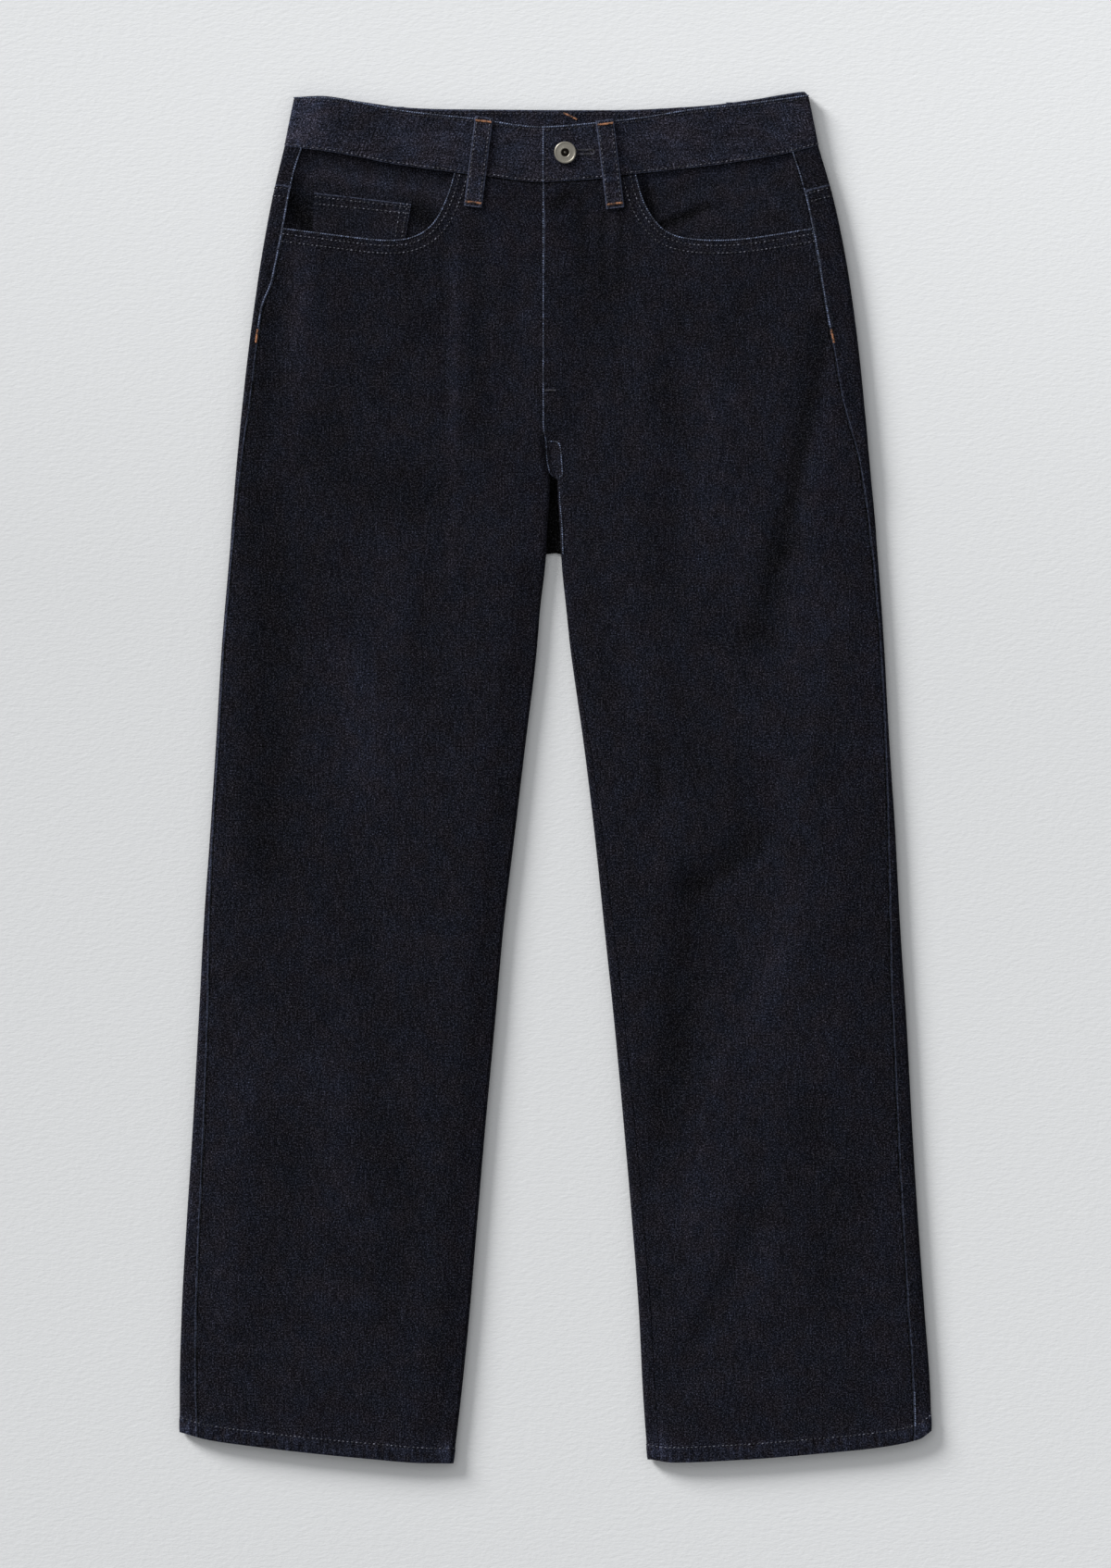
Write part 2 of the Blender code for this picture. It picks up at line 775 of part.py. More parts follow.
def make_front(name, leg):
    high, high_outward = front_top_block(leg, 4)
    columns = high.shape[1]
    full = sorted(set(ROWS + CROTCH_ROWS), reverse=True)
    last_row = front_rows(leg, np.full((1, columns), ROWS[-1]))[0][0]
    low, low_cloth = hem_rows(leg, ROWS[-1], last_row[:, 0])
    y_rows = np.array([np.full(columns, y) for y in full] + list(low))
    outer, outward = front_rows(leg, y_rows)
    outer[-3:, :, :] += outward[-3:] * HEM_STEP
    outer = np.concatenate([high, outer])
    outward = np.concatenate([high_outward, outward])
    cloth = np.array([DENIM] * (len(outer) - len(low_cloth)) + low_cloth)
    return wall(name, outer, outer - outward * cloth[:, None, None], "denim")


# Front pockets


def facing_height(leg, x, y):
    """Height of a pocket facing's upper face, drawn up to the side seam and the waistband."""
    from_side = np.abs(side_seam_x(leg, y) - x)
    from_waist = np.clip(smooth(WAIST_FRONT, 1, x) - y, 0.0, None)
    side_rise = FACING_SIDE_RISE * np.exp(-from_side / FACING_SIDE_REACH)
    waist_rise = FACING_WAIST_RISE * np.exp(-from_waist / FACING_WAIST_REACH)
    return FACING_FLOOR + side_rise + np.clip(waist_rise - side_rise, 0.0, None)


def make_facing(name, leg):
    side = leg["side"]
    scoop = scoop_line(leg)
    ahead = np.gradient(scoop, axis=0)
    ahead /= np.linalg.norm(ahead, axis=1, keepdims=True)
    out = np.stack([-ahead[:, 1], ahead[:, 0]], axis=1) * side
    out *= np.sign(-out[len(out) // 2, 1])
    lower = scoop + out * FACING_UNDER
    lower[0] = (leg["scoop"][0][0] - side * FACING_UNDER, lower[0, 1])
    lower[:, 1] = np.minimum(lower[:, 1], smooth(WAIST_FRONT, 1, lower[:, 0]) - 6.0)
    parts = np.linspace(0.0, 1.0, 12)
    lower = along(lower, parts)[0]
    start_x = lower[0, 0]
    end_y = WAIST_FRONT[0][1] - 3.0
    upper_x = mix(start_x, side_seam_x(leg, end_y), parts)
    upper = np.stack([upper_x, smooth(WAIST_FRONT, 1, upper_x) - WAIST_GAP], axis=1)
    rows = []
    for part in np.linspace(0.0, 1.0, 7):
        row = mix(upper, lower, part)
        row[-1, 0] = side_seam_x(leg, row[-1, 1]) - side * SEAM_GAP
        rows.append(row)
    grid = np.array(rows)
    height = facing_height(leg, grid[..., 0], grid[..., 1])
    return plate(name, grid, height - DENIM, height, "denim_facing")


def make_coin_pocket(name):
    leg = LEGS["right"]
    top_outer, top_inner, bottom_inner, bottom_outer = (np.array(corner) for corner in COIN_POCKET)
    rows = []
    for down in np.linspace(0.0, 1.0, 5):
        start = mix(top_outer, bottom_outer, down)
        end = mix(top_inner, bottom_inner, down)
        rows.append([mix(start, end, part) for part in np.linspace(0.0, 1.0, 7)])
    grid = np.array(rows)
    seat = facing_height(leg, grid[..., 0], grid[..., 1]) + SEAM_GAP
    return plate(name, grid, seat, seat + DENIM, "denim_facing")


# Back pockets, which lie under the back panels


def make_back_pocket(name, leg):
    side = leg["side"]
    size = BACK_POCKET
    middle = (size["inner"] + size["outer"]) / 2
    rows = []
    for down in np.linspace(0.0, 1.0, 5):
        inset = size["taper"] * down
        row = []
        for part in np.linspace(0.0, 1.0, 9):
            x = mix(size["inner"] + inset, size["outer"] - inset, part)
            toward_point = 1.0 - abs(x - middle) / (middle - size["inner"] - inset)
            bottom = mix(size["side"], size["point"], toward_point)
            row.append((side * x + back_centre_x(size["top"]), mix(size["top"], bottom, down)))
        rows.append(row)
    return plate(name, np.array(rows), 0.0, DENIM, "denim")


# Waistband


def band_points(waist, top, place, v):
    """x and y on the waistband: place is x at its seam, v is 0 at the seam and 1 at the top."""
    low_from, low_to = waist[0][0], waist[-1][0]
    high_from, high_to = top[0][0], top[-1][0]
    part = (place - low_from) / (low_to - low_from)
    x_top = mix(high_from, high_to, part)
    x = mix(place, x_top, v)
    y = mix(smooth(waist, 1, place), smooth(top, 1, x_top), v)
    return x, y


def band_height(x, lapped):
    return SEAT_LIFT + 2.0 * BAND_FOLD + (band_rise(x) if lapped else 0.0)


def band_surface(leg, turn, v):
    """Outer point by the distance over the end fold: positive is the front, negative the back."""
    side = leg["side"]
    quarter = BAND_FOLD * math.pi / 2
    angle = np.clip(turn, -quarter, quarter) / BAND_FOLD
    inset = BAND_FOLD * (1.0 - np.cos(angle)) + np.clip(np.abs(turn) - quarter, 0.0, None)
    edge = abs(WAIST_FRONT[0][0] if side < 0.0 else WAIST_FRONT[-1][0])
    place = side * (edge - inset)
    x_front, y_front = band_points(WAIST_FRONT, BAND_TOP_FRONT, place, v)
    x_back, y_back = band_points(WAIST_BACK, BAND_TOP_BACK, place, v)
    x = np.where(turn > 0.0, x_front, x_back)
    y = np.where(turn > 0.0, y_front, y_back)
    on_fold = SEAT_LIFT + BAND_FOLD * (1.0 + np.sin(angle))
    z = np.where(turn > quarter, band_height(x, side > 0.0), on_fold)
    return stack(x, y, z)


def make_waistband(name):
    quarter = BAND_FOLD * math.pi / 2
    right, left = LEGS["right"], LEGS["left"]
    right_edge = -WAIST_FRONT[0][0]
    left_edge = WAIST_FRONT[-1][0]

    def turns(edge, side, x):
        return quarter + edge - BAND_FOLD - side * x

    right_end = turns(right_edge, -1.0, LAP_X + BAND_UNDERLAP)
    left_end = turns(left_edge, 1.0, LAP_X)
    right_parts = list(np.linspace(right_end, quarter, 13)) + list(np.linspace(quarter, -quarter, 8)[1:])
    left_parts = list(np.linspace(-quarter, quarter, 8)[:-1]) + list(np.linspace(quarter, left_end, 17))
    v = np.linspace(0.0, 1.0, 3)
    points, outward = [], []
    for turn in right_parts:
        first = np.full_like(v, turn)
        points.append(band_surface(right, first, v))
        outward.append(normals(lambda a, b: band_surface(right, a, b), first, v, 1.0))
    back_from = -right_edge + BAND_FOLD
    back_to = left_edge - BAND_FOLD
    for place in np.linspace(back_from, back_to, 16)[1:-1]:
        x, y = band_points(WAIST_BACK, BAND_TOP_BACK, np.full_like(v, place), v)
        points.append(stack(x, y, SEAT_LIFT))
        outward.append(np.tile((0.0, 0.0, -1.0), (len(v), 1)))
    for turn in left_parts:
        first = np.full_like(v, turn)
        points.append(band_surface(left, first, v))
        outward.append(normals(lambda a, b: band_surface(left, a, b), first, v, -1.0))
    outer = np.stack(points, axis=1)
    outward = np.stack(outward, axis=1)
    return wall(name, outer, outer - outward * BAND_CLOTH, "denim_band")


# Belt loops


def loop_seat(leg, x, y):
    """Height that a front belt loop must clear."""
    panel = top_height(leg, x, np.minimum(y, smooth(WAIST_FRONT, 1, x)))
    band = band_height(x, leg["side"] > 0.0)
    over_band = between(y, smooth(WAIST_FRONT, 1, x) - 7.0, smooth(WAIST_FRONT, 1, x) - 2.0)
    return np.maximum(panel, mix(panel, band, over_band))


def make_front_loop(name, leg, top, bottom):
    """Strip over the waistband, from its top edge to below the waist seam."""
    top, bottom = np.array(top), np.array(bottom)
    ahead = (bottom - top) / np.linalg.norm(bottom - top)
    across = np.array([-ahead[1], ahead[0]])
    grid, bulge = [], []
    for part in np.linspace(0.0, 1.0, 11):
        middle = mix(top, bottom, part)
        grid.append([middle + across * LOOP_WIDTH * place for place in (-0.5, -0.17, 0.17, 0.5)])
        bulge.append([LOOP_BULGE * math.sin(math.pi * min(1.0, part / 0.72)) ** 2] * 4)
    grid = np.array(grid)
    seat = loop_seat(leg, grid[..., 0], grid[..., 1]) + LOOP_CLEAR + np.array(bulge)
    return plate(name, grid, seat, seat + LOOP_CLOTH, "denim_band")


def make_back_loop(name, x, reach):
    """Strip under the back waistband, from its top edge to below the seam."""
    top = float(smooth(BAND_TOP_BACK, 1, x))
    half = LOOP_WIDTH / 2
    grid = np.array([[(x - half, y), (x + half, y)] for y in np.linspace(top, top - reach, 3)])
    return plate(name, grid, 0.0, DENIM, "denim_band")


# Button


def make_button(name):
    """Turned button head with a dished ring and a small centre pin, seated on the left waistband."""
    seat = float(band_height(np.array(BUTTON_AT[0]), True)) + SEAM_GAP
    vertices = [(*BUTTON_AT, seat)]
    rings = BUTTON_PROFILE[1:-1]
    for radius, height in rings:
        for number in range(BUTTON_SIDES):
            angle = 2.0 * math.pi * number / BUTTON_SIDES
            x = BUTTON_AT[0] + radius * math.cos(angle)
            y = BUTTON_AT[1] + radius * math.sin(angle)
            vertices.append((x, y, seat + height))
    vertices.append((*BUTTON_AT, seat + BUTTON_PROFILE[-1][1]))
    faces = []
    tip = len(vertices) - 1
    last = 1 + (len(rings) - 1) * BUTTON_SIDES
    for number in range(BUTTON_SIDES):
        after = (number + 1) % BUTTON_SIDES
        faces.append((0, 1 + after, 1 + number))
        faces.append((tip, last + number, last + after))
        for ring in range(len(rings) - 1):
            low = 1 + ring * BUTTON_SIDES
            high = low + BUTTON_SIDES
            faces.append((low + number, low + after, high + after, high + number))
    return add_object(name, vertices, faces, "pewter")


def clear_scene():
    for found in list(bpy.data.objects):
        bpy.data.objects.remove(found, do_unlink=True)


def main():
    clear_scene()
    for word, leg in LEGS.items():
        make_front("front_" + word, leg)
        make_back("back_" + word, leg)
        make_yoke("yoke_" + word, leg)
        make_facing("pocket_facing_" + word, leg)
        make_back_pocket("back_pocket_" + word, leg)
    make_coin_pocket("coin_pocket")
    make_waistband("waistband")
    for name, word, top, bottom in FRONT_LOOPS:
        make_front_loop(name, LEGS[word], top, bottom)
    for name, x, reach in BACK_LOOPS:
        make_back_loop(name, x, reach)
    make_button("button")


main()
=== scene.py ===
"""Looks of the tapered jeans: cloth shells, creases, stitching, bartacks, button and stage.

Lengths are millimetres until a mesh is written. X runs across, with the wearer's right leg at -X. Y runs
up to the waist and Z up from the surface that the jeans lie on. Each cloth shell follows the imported
model's solid, from the same tables, and adds the soft troughs and ridges of laid cloth.
"""

import math
from functools import partial

import bpy
import numpy as np
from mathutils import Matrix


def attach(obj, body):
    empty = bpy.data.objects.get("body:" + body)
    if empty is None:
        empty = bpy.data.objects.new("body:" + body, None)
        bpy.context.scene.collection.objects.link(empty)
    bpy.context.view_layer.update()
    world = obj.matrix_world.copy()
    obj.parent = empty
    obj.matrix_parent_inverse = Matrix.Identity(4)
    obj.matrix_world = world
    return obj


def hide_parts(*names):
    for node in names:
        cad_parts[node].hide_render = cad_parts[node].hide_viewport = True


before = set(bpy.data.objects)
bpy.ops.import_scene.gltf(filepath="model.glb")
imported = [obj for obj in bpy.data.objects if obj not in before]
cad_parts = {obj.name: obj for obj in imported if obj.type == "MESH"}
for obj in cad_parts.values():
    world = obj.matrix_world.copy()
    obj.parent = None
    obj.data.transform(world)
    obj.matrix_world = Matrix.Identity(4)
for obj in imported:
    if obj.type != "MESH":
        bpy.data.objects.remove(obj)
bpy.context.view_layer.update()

bl_info = {
    "name": "Tapered Jeans",
    "version": (1, 0, 0),
    "blender": (4, 5, 0),
    "location": "3D View > Sidebar > Jeans",
    "description": "Builds a pair of tapered jeans laid flat, with denim, stitching and a pewter button",
    "category": "Object",
}

MILLIMETRE = 0.001
BODY = "root"
UP = (0.0, 0.0, 1.0)

# Cloth
DENIM = 1.1
BAND_CLOTH = 2.6
HEM_CLOTH = 2.4
SEAM_GAP = 0.3
LEG_SEAM_GAP = 0.4
CENTRE_GAP = 0.04
WAIST_GAP = 0.5

# Folded edges and layers
FOLD = 2.9
BAND_FOLD = 3.05
QUARTER_FOLD = FOLD * math.pi / 2
QUARTER_BAND = BAND_FOLD * math.pi / 2
SEAT_LIFT = 1.4
SEAT_LIFT_FROM = 190.0
SEAT_LIFT_TO = 235.0
CREASE_FADE = 15.0
WIDE_RIPPLE = 0.16
NEAR_RIPPLE = 0.05

# Fly, centre seams and crotch
LAP_X = -9.5
UNDERLAP = 8.0
BAND_UNDERLAP = 34.0
FLY_RISE = 1.4
FLY_FLAT = 10.0
FLY_SLOPE = 17.0
FLY_END = (262.0, 250.0)
UNDERLAP_END = (270.0, 262.0)
BAND_RISE = 2.9
BAND_FLAT = 36.0
BAND_SLOPE = 42.0
BAND_RISE_REACH = 18.0
CROTCH_Y = 223.7
CROTCH_TURN = 5.7
GROOVE_TOP = (252.0, 246.0)
GROOVE_DEPTH = 2.4
GROOVE_FLAT = 6.0
GROOVE_SLOPE = 4.0
SADDLE_Y = (164.8, 164.0)
BACK_CENTRE_SHIFT = 10.9
BACK_CENTRE_FROM = (230.0, 480.0)
YOKE_CENTRE_Y = 386.0
YOKE_SIDE_Y = 435.0
YOKE_SIDE_X = 200.0

# Hems
HEM_DEPTH = 11.5
HEM_STEP = 0.4
HEM_RISE = (13.2, 10.6)
HEM_PULL = 0.3
HEM_PULL_REACH = 1.1
HEM_ROLL = 0.25
HEM_ROLL_REACH = 1.6

# Waistband
BAND_SWELL = 0.22
BAND_RIPPLE = 0.07

# Seams
SEAM_RISE_SLOPE = 3.0
SEAM_RISES = {
    # how far from a seam its allowances raise the cloth, and by how much
    "back_side": (5.0, 0.35),
    "back_inner": (5.0, 0.2),
    "front_side": (4.0, 0.12),
    "front_inner": (4.0, 0.1),
    "mouth": (9.5, 0.3),
}

# Pockets
CORNER_CUTS = 3
SCOOP_END_Y = 403.5
FACING_UNDER = 11.0
FACING_FLOOR = 4.0
FACING_SIDE_RISE = 1.7
FACING_SIDE_REACH = 5.0
FACING_WAIST_RISE = 1.4
FACING_WAIST_REACH = 8.0
BACK_POCKET = {"inner": 32.0, "outer": 176.0, "top": 392.0, "side": 262.0, "point": 240.0, "taper": 6.0}

# Belt loops
LOOP_WIDTH = 13.2
LOOP_CLOTH = 1.2
LOOP_WALL = LOOP_CLOTH * 0.8
LOOP_CLEAR = 0.45
LOOP_BULGE = 1.4
LOOP_BULGE_END = 0.72
LOOP_ROUNDING = 0.45
LOOP_WELT = 0.16
LOOP_WELT_PLACE = 0.27
LOOP_WELT_WIDTH = 0.1

# Button
BUTTON_AT = (7.1, 458.7)
BUTTON_SIDES = 72
BUTTON_TURNED = (
    # radius, height above the seat
    (0.0, 0.0),
    (6.9, 0.0),
    (7.7, 0.35),
    (8.0, 0.8),
    (8.1, 1.2),
    (8.0, 1.6),
    (7.75, 1.88),
    (7.4, 1.98),
    (7.05, 1.96),
    (6.8, 1.84),
    (6.55, 1.74),
    (6.2, 1.7),
    (4.2, 1.7),
    (3.85, 1.76),
    (3.55, 1.8),
    (3.25, 1.76),
    (3.05, 1.6),
    (2.95, 1.2),
    (2.9, 0.7),
    (1.25, 0.7),
    (1.15, 1.1),
    (0.95, 1.45),
    (0.6, 1.62),
    (0.0, 1.7),
)

# Rows and columns of the cloth grids
FAR = 30.0
FAR_FROM_HEM = 99.0
SLOPE_REACH = 0.05
ROW_TOP = 367.0
ROW_LOW = -440.0
LEG_ROWS = 245
YOKE_ROWS = 16
FRONT_MIDDLE = 48
NEAR_SEAM = (0.0, 0.7, 1.6, 2.8, 4.4, 6.4, 9.0, 12.0, 16.0, 20.0)
FRONT_COUNT = len(NEAR_SEAM) * 2 + FRONT_MIDDLE - 1
OUTER_PARTS = (0.0, 0.03, 0.07, 0.12, 0.19, 0.28, 0.37, 0.46, 0.55, 0.64, 0.73, 0.82, 0.91, 1.0)
UNDER_PARTS = np.linspace(0.0, 1.0, 31)[1:-1]
INNER_PARTS = (0.0, 0.12, 0.24, 0.36, 0.48, 0.6, 0.72, 0.84, 0.93, 1.0)
BACK_COUNT = len(OUTER_PARTS) + len(UNDER_PARTS) + len(INNER_PARTS)
HEM_PARTS = (20.0, 16.5, 14.0, 12.8, 11.9, 11.4, 11.0, 10.6, 10.0, 9.0, 7.5, 5.5, 3.8, 2.4, 1.4, 0.6, 0.0)
CROTCH_ROWS = (262.0, 256.0, 246.0, 240.0, 226.0, 223.7, 220.8, 218.0, 212.0, 164.8, 164.0)
BAND_PARTS = (0.0, 0.012, 0.03, 0.055, 0.085, 0.12, 0.18, 0.26, 0.36, 0.48)
BAND_PARTS += (0.6, 0.71, 0.8, 0.87, 0.91, 0.94, 0.965, 0.985, 1.0)
BAND_NEAR_END = (1.6, 0.7)
LOOP_PLACES = (-0.5, -0.47, -0.42, -0.35, -0.27, -0.18, -0.06, 0.06, 0.18, 0.27, 0.35, 0.42, 0.47, 0.5)

# How far back the wear of a shell's four edges stays
NO_WEAR = 99.0
RUBBED = (0.0, 0.0, 0.0, 0.0)
PLAIN = (NO_WEAR, NO_WEAR, NO_WEAR, NO_WEAR)

# Edges sharper than these, in degrees, stay sharp
CLOTH_SHARP = 50.0
METAL_SHARP = 38.0

# Sewing
HEM_STITCH = 11.0
HEM_ROW_ENDS = (4.0, 1.5)
HEM_GUESS_Y = -480.0
MOUTH_ROWS = (4.3, 9.8)
MOUTH_EDGE = 0.5
SEAM_ROWS = (2.0, 8.0)
SEAT_ROWS_END = 176.0
COIN_ROWS = (2.7, 7.5)
COIN_DEPTH = 35.0
COIN_WIDTH = 71.6
PATCH_ROWS = (1.8, 7.5)
PATCH_MOUTH_ROWS = (3.0, 15.0)
PATCH_DEPTH = 140.0
BAND_ROWS = (0.035, 0.94)
BAND_INSIDE_ENDS = (-168.0, 165.0)
BAND_INSIDE_ROW = 3.0
BAND_END_ROW = 0.9
BAND_END_EDGE = 0.35
LOOP_ROWS = (-0.36, 0.36)
LOOP_ROW_ENDS = (0.03, 0.97)
LAP_EDGE = 0.6
LAP_EDGE_Y = (434.0, 226.0)
INSEAM_ROW = 1.5
HIP_ROW = 0.9
LOW_SEAM_FROM = -452.0
LOW_SEAM_TO = -476.0
HIP_TACK_Y = 329.0
HIP_TACK_ROW = 1.0
HIP_TACK_LENGTH = 9.5
TACK_IN = 3.2
TACK_PLACES = (-0.43, -0.2, 0.0, 0.2, 0.43)
BAND_TACK = ((10.9, 485.9), (9.5, -4.8), 10.6)
FLY_TACK = ((-3.7, 284.2), (1.0, 0.0), 7.5)
FLY_BASE = ((-6.5, 246.6), (-2.5, 247.0), (1.5, 246.8), (3.6, 243.5), (4.3, 236.0), (5.2, 222.0))
BUTTONHOLE = ((13.0, 459.0), (27.2, 459.0))
HOLE_HALF = 1.5
RISE = {
    # how far the middle of each row's thread stands over its cloth
    "hem": HEM_STEP * 0.5,
    "back_hem": 0.25,
    "mouth": 0.36,
    "mouth_edge": 0.3,
    "lap_edge": -0.1,
    "crotch": 0.25,
    "hip": 0.42,
    "yoke_seam": 0.15,
    "under": 0.1,
    "coin": 0.12,
    "band": BAND_SWELL,
    "band_inside": 0.15,
    "band_edge": 0.1,
    "band_end": 0.25,
    "loop": 0.06,
    "back_loop": 0.08,
    "hip_tack": 0.55,
    "band_tack": 0.2,
    "fly_tack": 0.25,
    "loop_tack": 0.1,
    "back_loop_tack": 0.12,
    "buttonhole": 0.25,
}

# Threads: sizes in metres, turns from the row in radians
STITCH_PART = 0.56
STITCH_LEAST = (0.86, 0.85, 0.8)
STITCH_MOST = (1.12, 1.15, 1.2)
ROPE = {"Pitch": 0.0017, "Length": 0.0017, "Thickness": 0.0009, "Turn": math.radians(24.0), "Seed": 31}
TACK = {"Pitch": 0.00062, "Length": 0.0019, "Thickness": 0.0006, "Turn": math.radians(76.0), "Seed": 5}
FLY_THREADS = {**TACK, "Length": 0.0018}
HOLE = {"Pitch": 0.0006, "Length": 0.0020, "Thickness": 0.0006, "Turn": math.pi / 2, "Seed": 19}

# Materials
NUMBER = "NodeSocketFloat"
VECTOR = "NodeSocketVector"
TO_MILLIMETRES = (1000.0, 1000.0, 1000.0)
WEFT = (0.045, 0.045, 0.050)
PATINA = (0.012, 0.009, 0.006)
# painted shade and painted glints along the threads, as shares of their colour
THREAD_PAINTED_SHADE = 0.4
THREAD_PAINTED_GLINT = 4.6
DENIM_DEPTH = {
    # how strongly the painted light and shade of the folds and tones darkens or lightens the dye, the
    # grain's contrast, the strength of its streaks, their run
    "denim": (1.0, 0.75, 1.9, (1.0, 0.35, 1.0)),
    "denim_band": (0.7, 0.8, 3.2, (0.3, 1.0, 1.0)),
    "denim_facing": (0.45, 0.7, 2.4, (0.6, 0.8, 1.0)),
}
# share of the folds' heights painted into the dye: painted shade in their troughs, painted light on their
# crests
RELIEF_PAINTED_SHADE = 0.42
# painted shade on the shells' inner faces and down the crotch's inner column, standing in for their shadow
PAINTED_INSIDE_SHADE = -6.0
SEAM_SHADE = -3.5

# Stage, with the camera's place and reach in metres
# darker and brighter ends of the floor's painted light
FLOOR_PAINTED_FALLOFF = ((0.755, 0.763, 0.770), (0.895, 0.905, 0.915))
FLOOR_HALF = 5000.0
FLOOR_Z = -0.75
CAMERA_LENS = 240.0
CAMERA_AT = (0.0, -0.0048, 7.684)
CAMERA_SENSOR = 36.0
CAMERA_REACH = 20.0
WORLD_COLOUR = (0.97, 0.985, 1.0, 1.0)
WORLD_LIGHT = 0.41
SUNS = (
    # name, strength, angular width, heading, height over the floor: degrees
    ("low_light", 4.5, 19.0, 228.0, 18.0),
    ("high_light", 0.24, 38.0, 220.0, 42.0),
)

FACING_SHADES = (
    # painted shade and painted light: first end x, y, last end x, y, half width, tone
    # left facing: painted shade in its diagonal crease, beside its mouth and at the side seam, painted light
    # under the waist seam and over its middle
    (74.9, 404.7, 96.0, 413.0, 3.6, -3.6),
    (96.0, 413.0, 115.0, 421.0, 2.6, -2.4),
    (66.0, 436.0, 72.0, 414.0, 3.4, -2.6),
    (66.0, 438.0, 188.0, 455.0, 5.5, 1.7),
    (110.0, 410.0, 150.0, 430.0, 12.0, 0.7),
    (180.5, 446.0, 184.0, 408.0, 3.0, -1.2),
    # painted shade beside the coin pocket and at the side seam, and painted light under the waist seam that
    # lifts its shadow
    (-193.0, 424.0, -184.0, 404.0, 5.5, -4.5),
    (-181.5, 424.0, -180.0, 400.0, 3.5, -2.5),
    (-103.0, 418.0, -96.0, 410.0, 6.5, -3.5),
    (-188.0, 446.0, -76.0, 429.0, 6.0, 1.7),
)

FACING_FOLDS = (
    # first end x, y, last end x, y, half width, height
    (80.0, 406.0, 110.0, 419.0, 4.0, -0.9),
    (84.0, 414.0, 140.0, 436.0, 7.0, 0.5),
    (-186.0, 428.0, -180.0, 404.0, 5.0, -0.5),
    (-98.0, 425.0, -88.0, 408.0, 6.0, -0.5),
)

BAND_PALE_AND_DARK = (
    # paler and darker places along the waistband's front: first end x, y, last end x, y, half width, tone
    (-190.0, 470.0, -178.0, 492.0, 14.0, 1.2),
    (-150.0, 478.0, -130.0, 484.0, 12.0, -0.6),
    (-110.0, 466.0, -80.0, 470.0, 9.0, 0.6),
    (-30.0, 466.0, -12.0, 470.0, 8.0, 0.4),
    (60.0, 470.0, 90.0, 474.0, 9.0, 0.3),
    (110.0, 480.0, 150.0, 486.0, 9.0, -0.3),
    (170.0, 476.0, 182.0, 492.0, 9.0, 0.5),
)

OUTER_EDGE = (
    # y, right leg, left leg: distance of the outer fold from the centre line
    (464.0, 199.0, 193.0),
    (421.6, 208.8, 205.0),
    (367.2, 218.3, 215.6),
    (299.2, 227.1, 224.4),
    (231.2, 233.8, 230.8),
    (163.2, 239.4, 236.6),
    (95.2, 245.1, 241.4),
    (27.2, 249.2, 245.1),
    (-40.8, 253.6, 249.6),
    (-108.8, 258.4, 253.2),
    (-176.8, 262.1, 257.7),
    (-258.4, 266.6, 262.1),
    (-326.4, 271.0, 266.4),
    (-394.4, 274.7, 271.3),
    (-448.8, 276.1, 275.2),
    (-480.0, 276.1, 276.1),
    (-506.6, 276.1, 276.1),
)

INNER_EDGE = (
    # y, right leg, left leg: distance of the inner fold from the centre line,
    # then of each inseam from the fold's outermost line, measured over the top of the fold
    (231.0, 4.2, 1.7, -1.4, -1.4),
    (218.0, 4.1, 1.7, -1.4, -1.4),
    (200.0, 4.7, 2.2, -1.4, -1.4),
    (189.0, 5.7, 3.2, -1.4, -1.4),
    (163.0, 7.0, 4.2, -1.4, -1.4),
    (121.0, 11.6, 8.2, 1.4, 1.6),
    (95.0, 13.6, 10.9, 3.0, 3.8),
    (27.0, 21.8, 20.4, 3.6, 6.0),
    (-41.0, 29.9, 28.6, 3.6, 7.4),
    (-109.0, 38.1, 35.7, 3.6, 8.4),
    (-177.0, 44.2, 42.8, 3.6, 9.2),
    (-258.0, 51.7, 50.3, 3.6, 9.8),
    (-326.0, 57.5, 56.1, 3.6, 10.2),
    (-394.0, 63.2, 61.2, 3.6, 10.5),
    (-449.0, 68.7, 63.9, 3.6, 10.7),
    (-507.0, 75.5, 68.0, 3.6, 10.7),
)

SIDE_SEAM = (
    # y, right leg, left leg: distance of the side seam in from the outer fold
    (464.0, 13.6, 21.1),
    (442.0, 12.0, 20.4),
    (404.0, 12.6, 20.5),
    (367.0, 11.3, 20.8),
    (343.0, 6.2, 20.4),
    (316.0, 5.7, 18.3),
    (283.0, 5.4, 16.3),
    (231.0, 3.0, 7.5),
    (163.0, 1.6, 3.7),
    (54.0, 1.7, 2.4),
    (-41.0, 1.9, 5.1),
    (-109.0, 3.9, 7.3),
    (-163.0, 6.1, 9.5),
    (-245.0, 7.8, 10.3),
    (-367.0, 10.2, 11.6),
    (-507.0, 13.3, 13.0),
)

WAIST_FRONT = (
    # x, y of the seam under the front waistband
    (-199.0, 464.0),
    (-155.7, 458.0),
    (-121.0, 451.0),
    (-70.7, 444.0),
    (-46.9, 441.3),
    (-9.5, 437.2),
    (5.4, 437.9),
    (34.7, 440.0),
    (52.4, 442.7),
    (91.1, 446.8),
    (135.3, 452.5),
    (172.0, 459.0),
    (193.0, 464.4),
)

WAIST_BACK = (
    # x, y of the seam under the back waistband
    (-199.0, 464.0),
    (-142.1, 455.0),
    (-80.9, 450.5),
    (0.0, 449.7),
    (72.1, 450.8),
    (143.5, 457.0),
    (193.0, 464.4),
)

BAND_TOP_FRONT = (
    # x, y of the top edge of the front waistband
    (-191.8, 499.8),
    (-173.4, 499.6),
    (-106.8, 489.2),
    (-59.8, 484.2),
    (-9.5, 478.0),
    (28.6, 480.8),
    (67.3, 485.5),
    (101.3, 491.0),
    (135.3, 494.5),
    (179.5, 500.4),
    (185.6, 501.3),
)

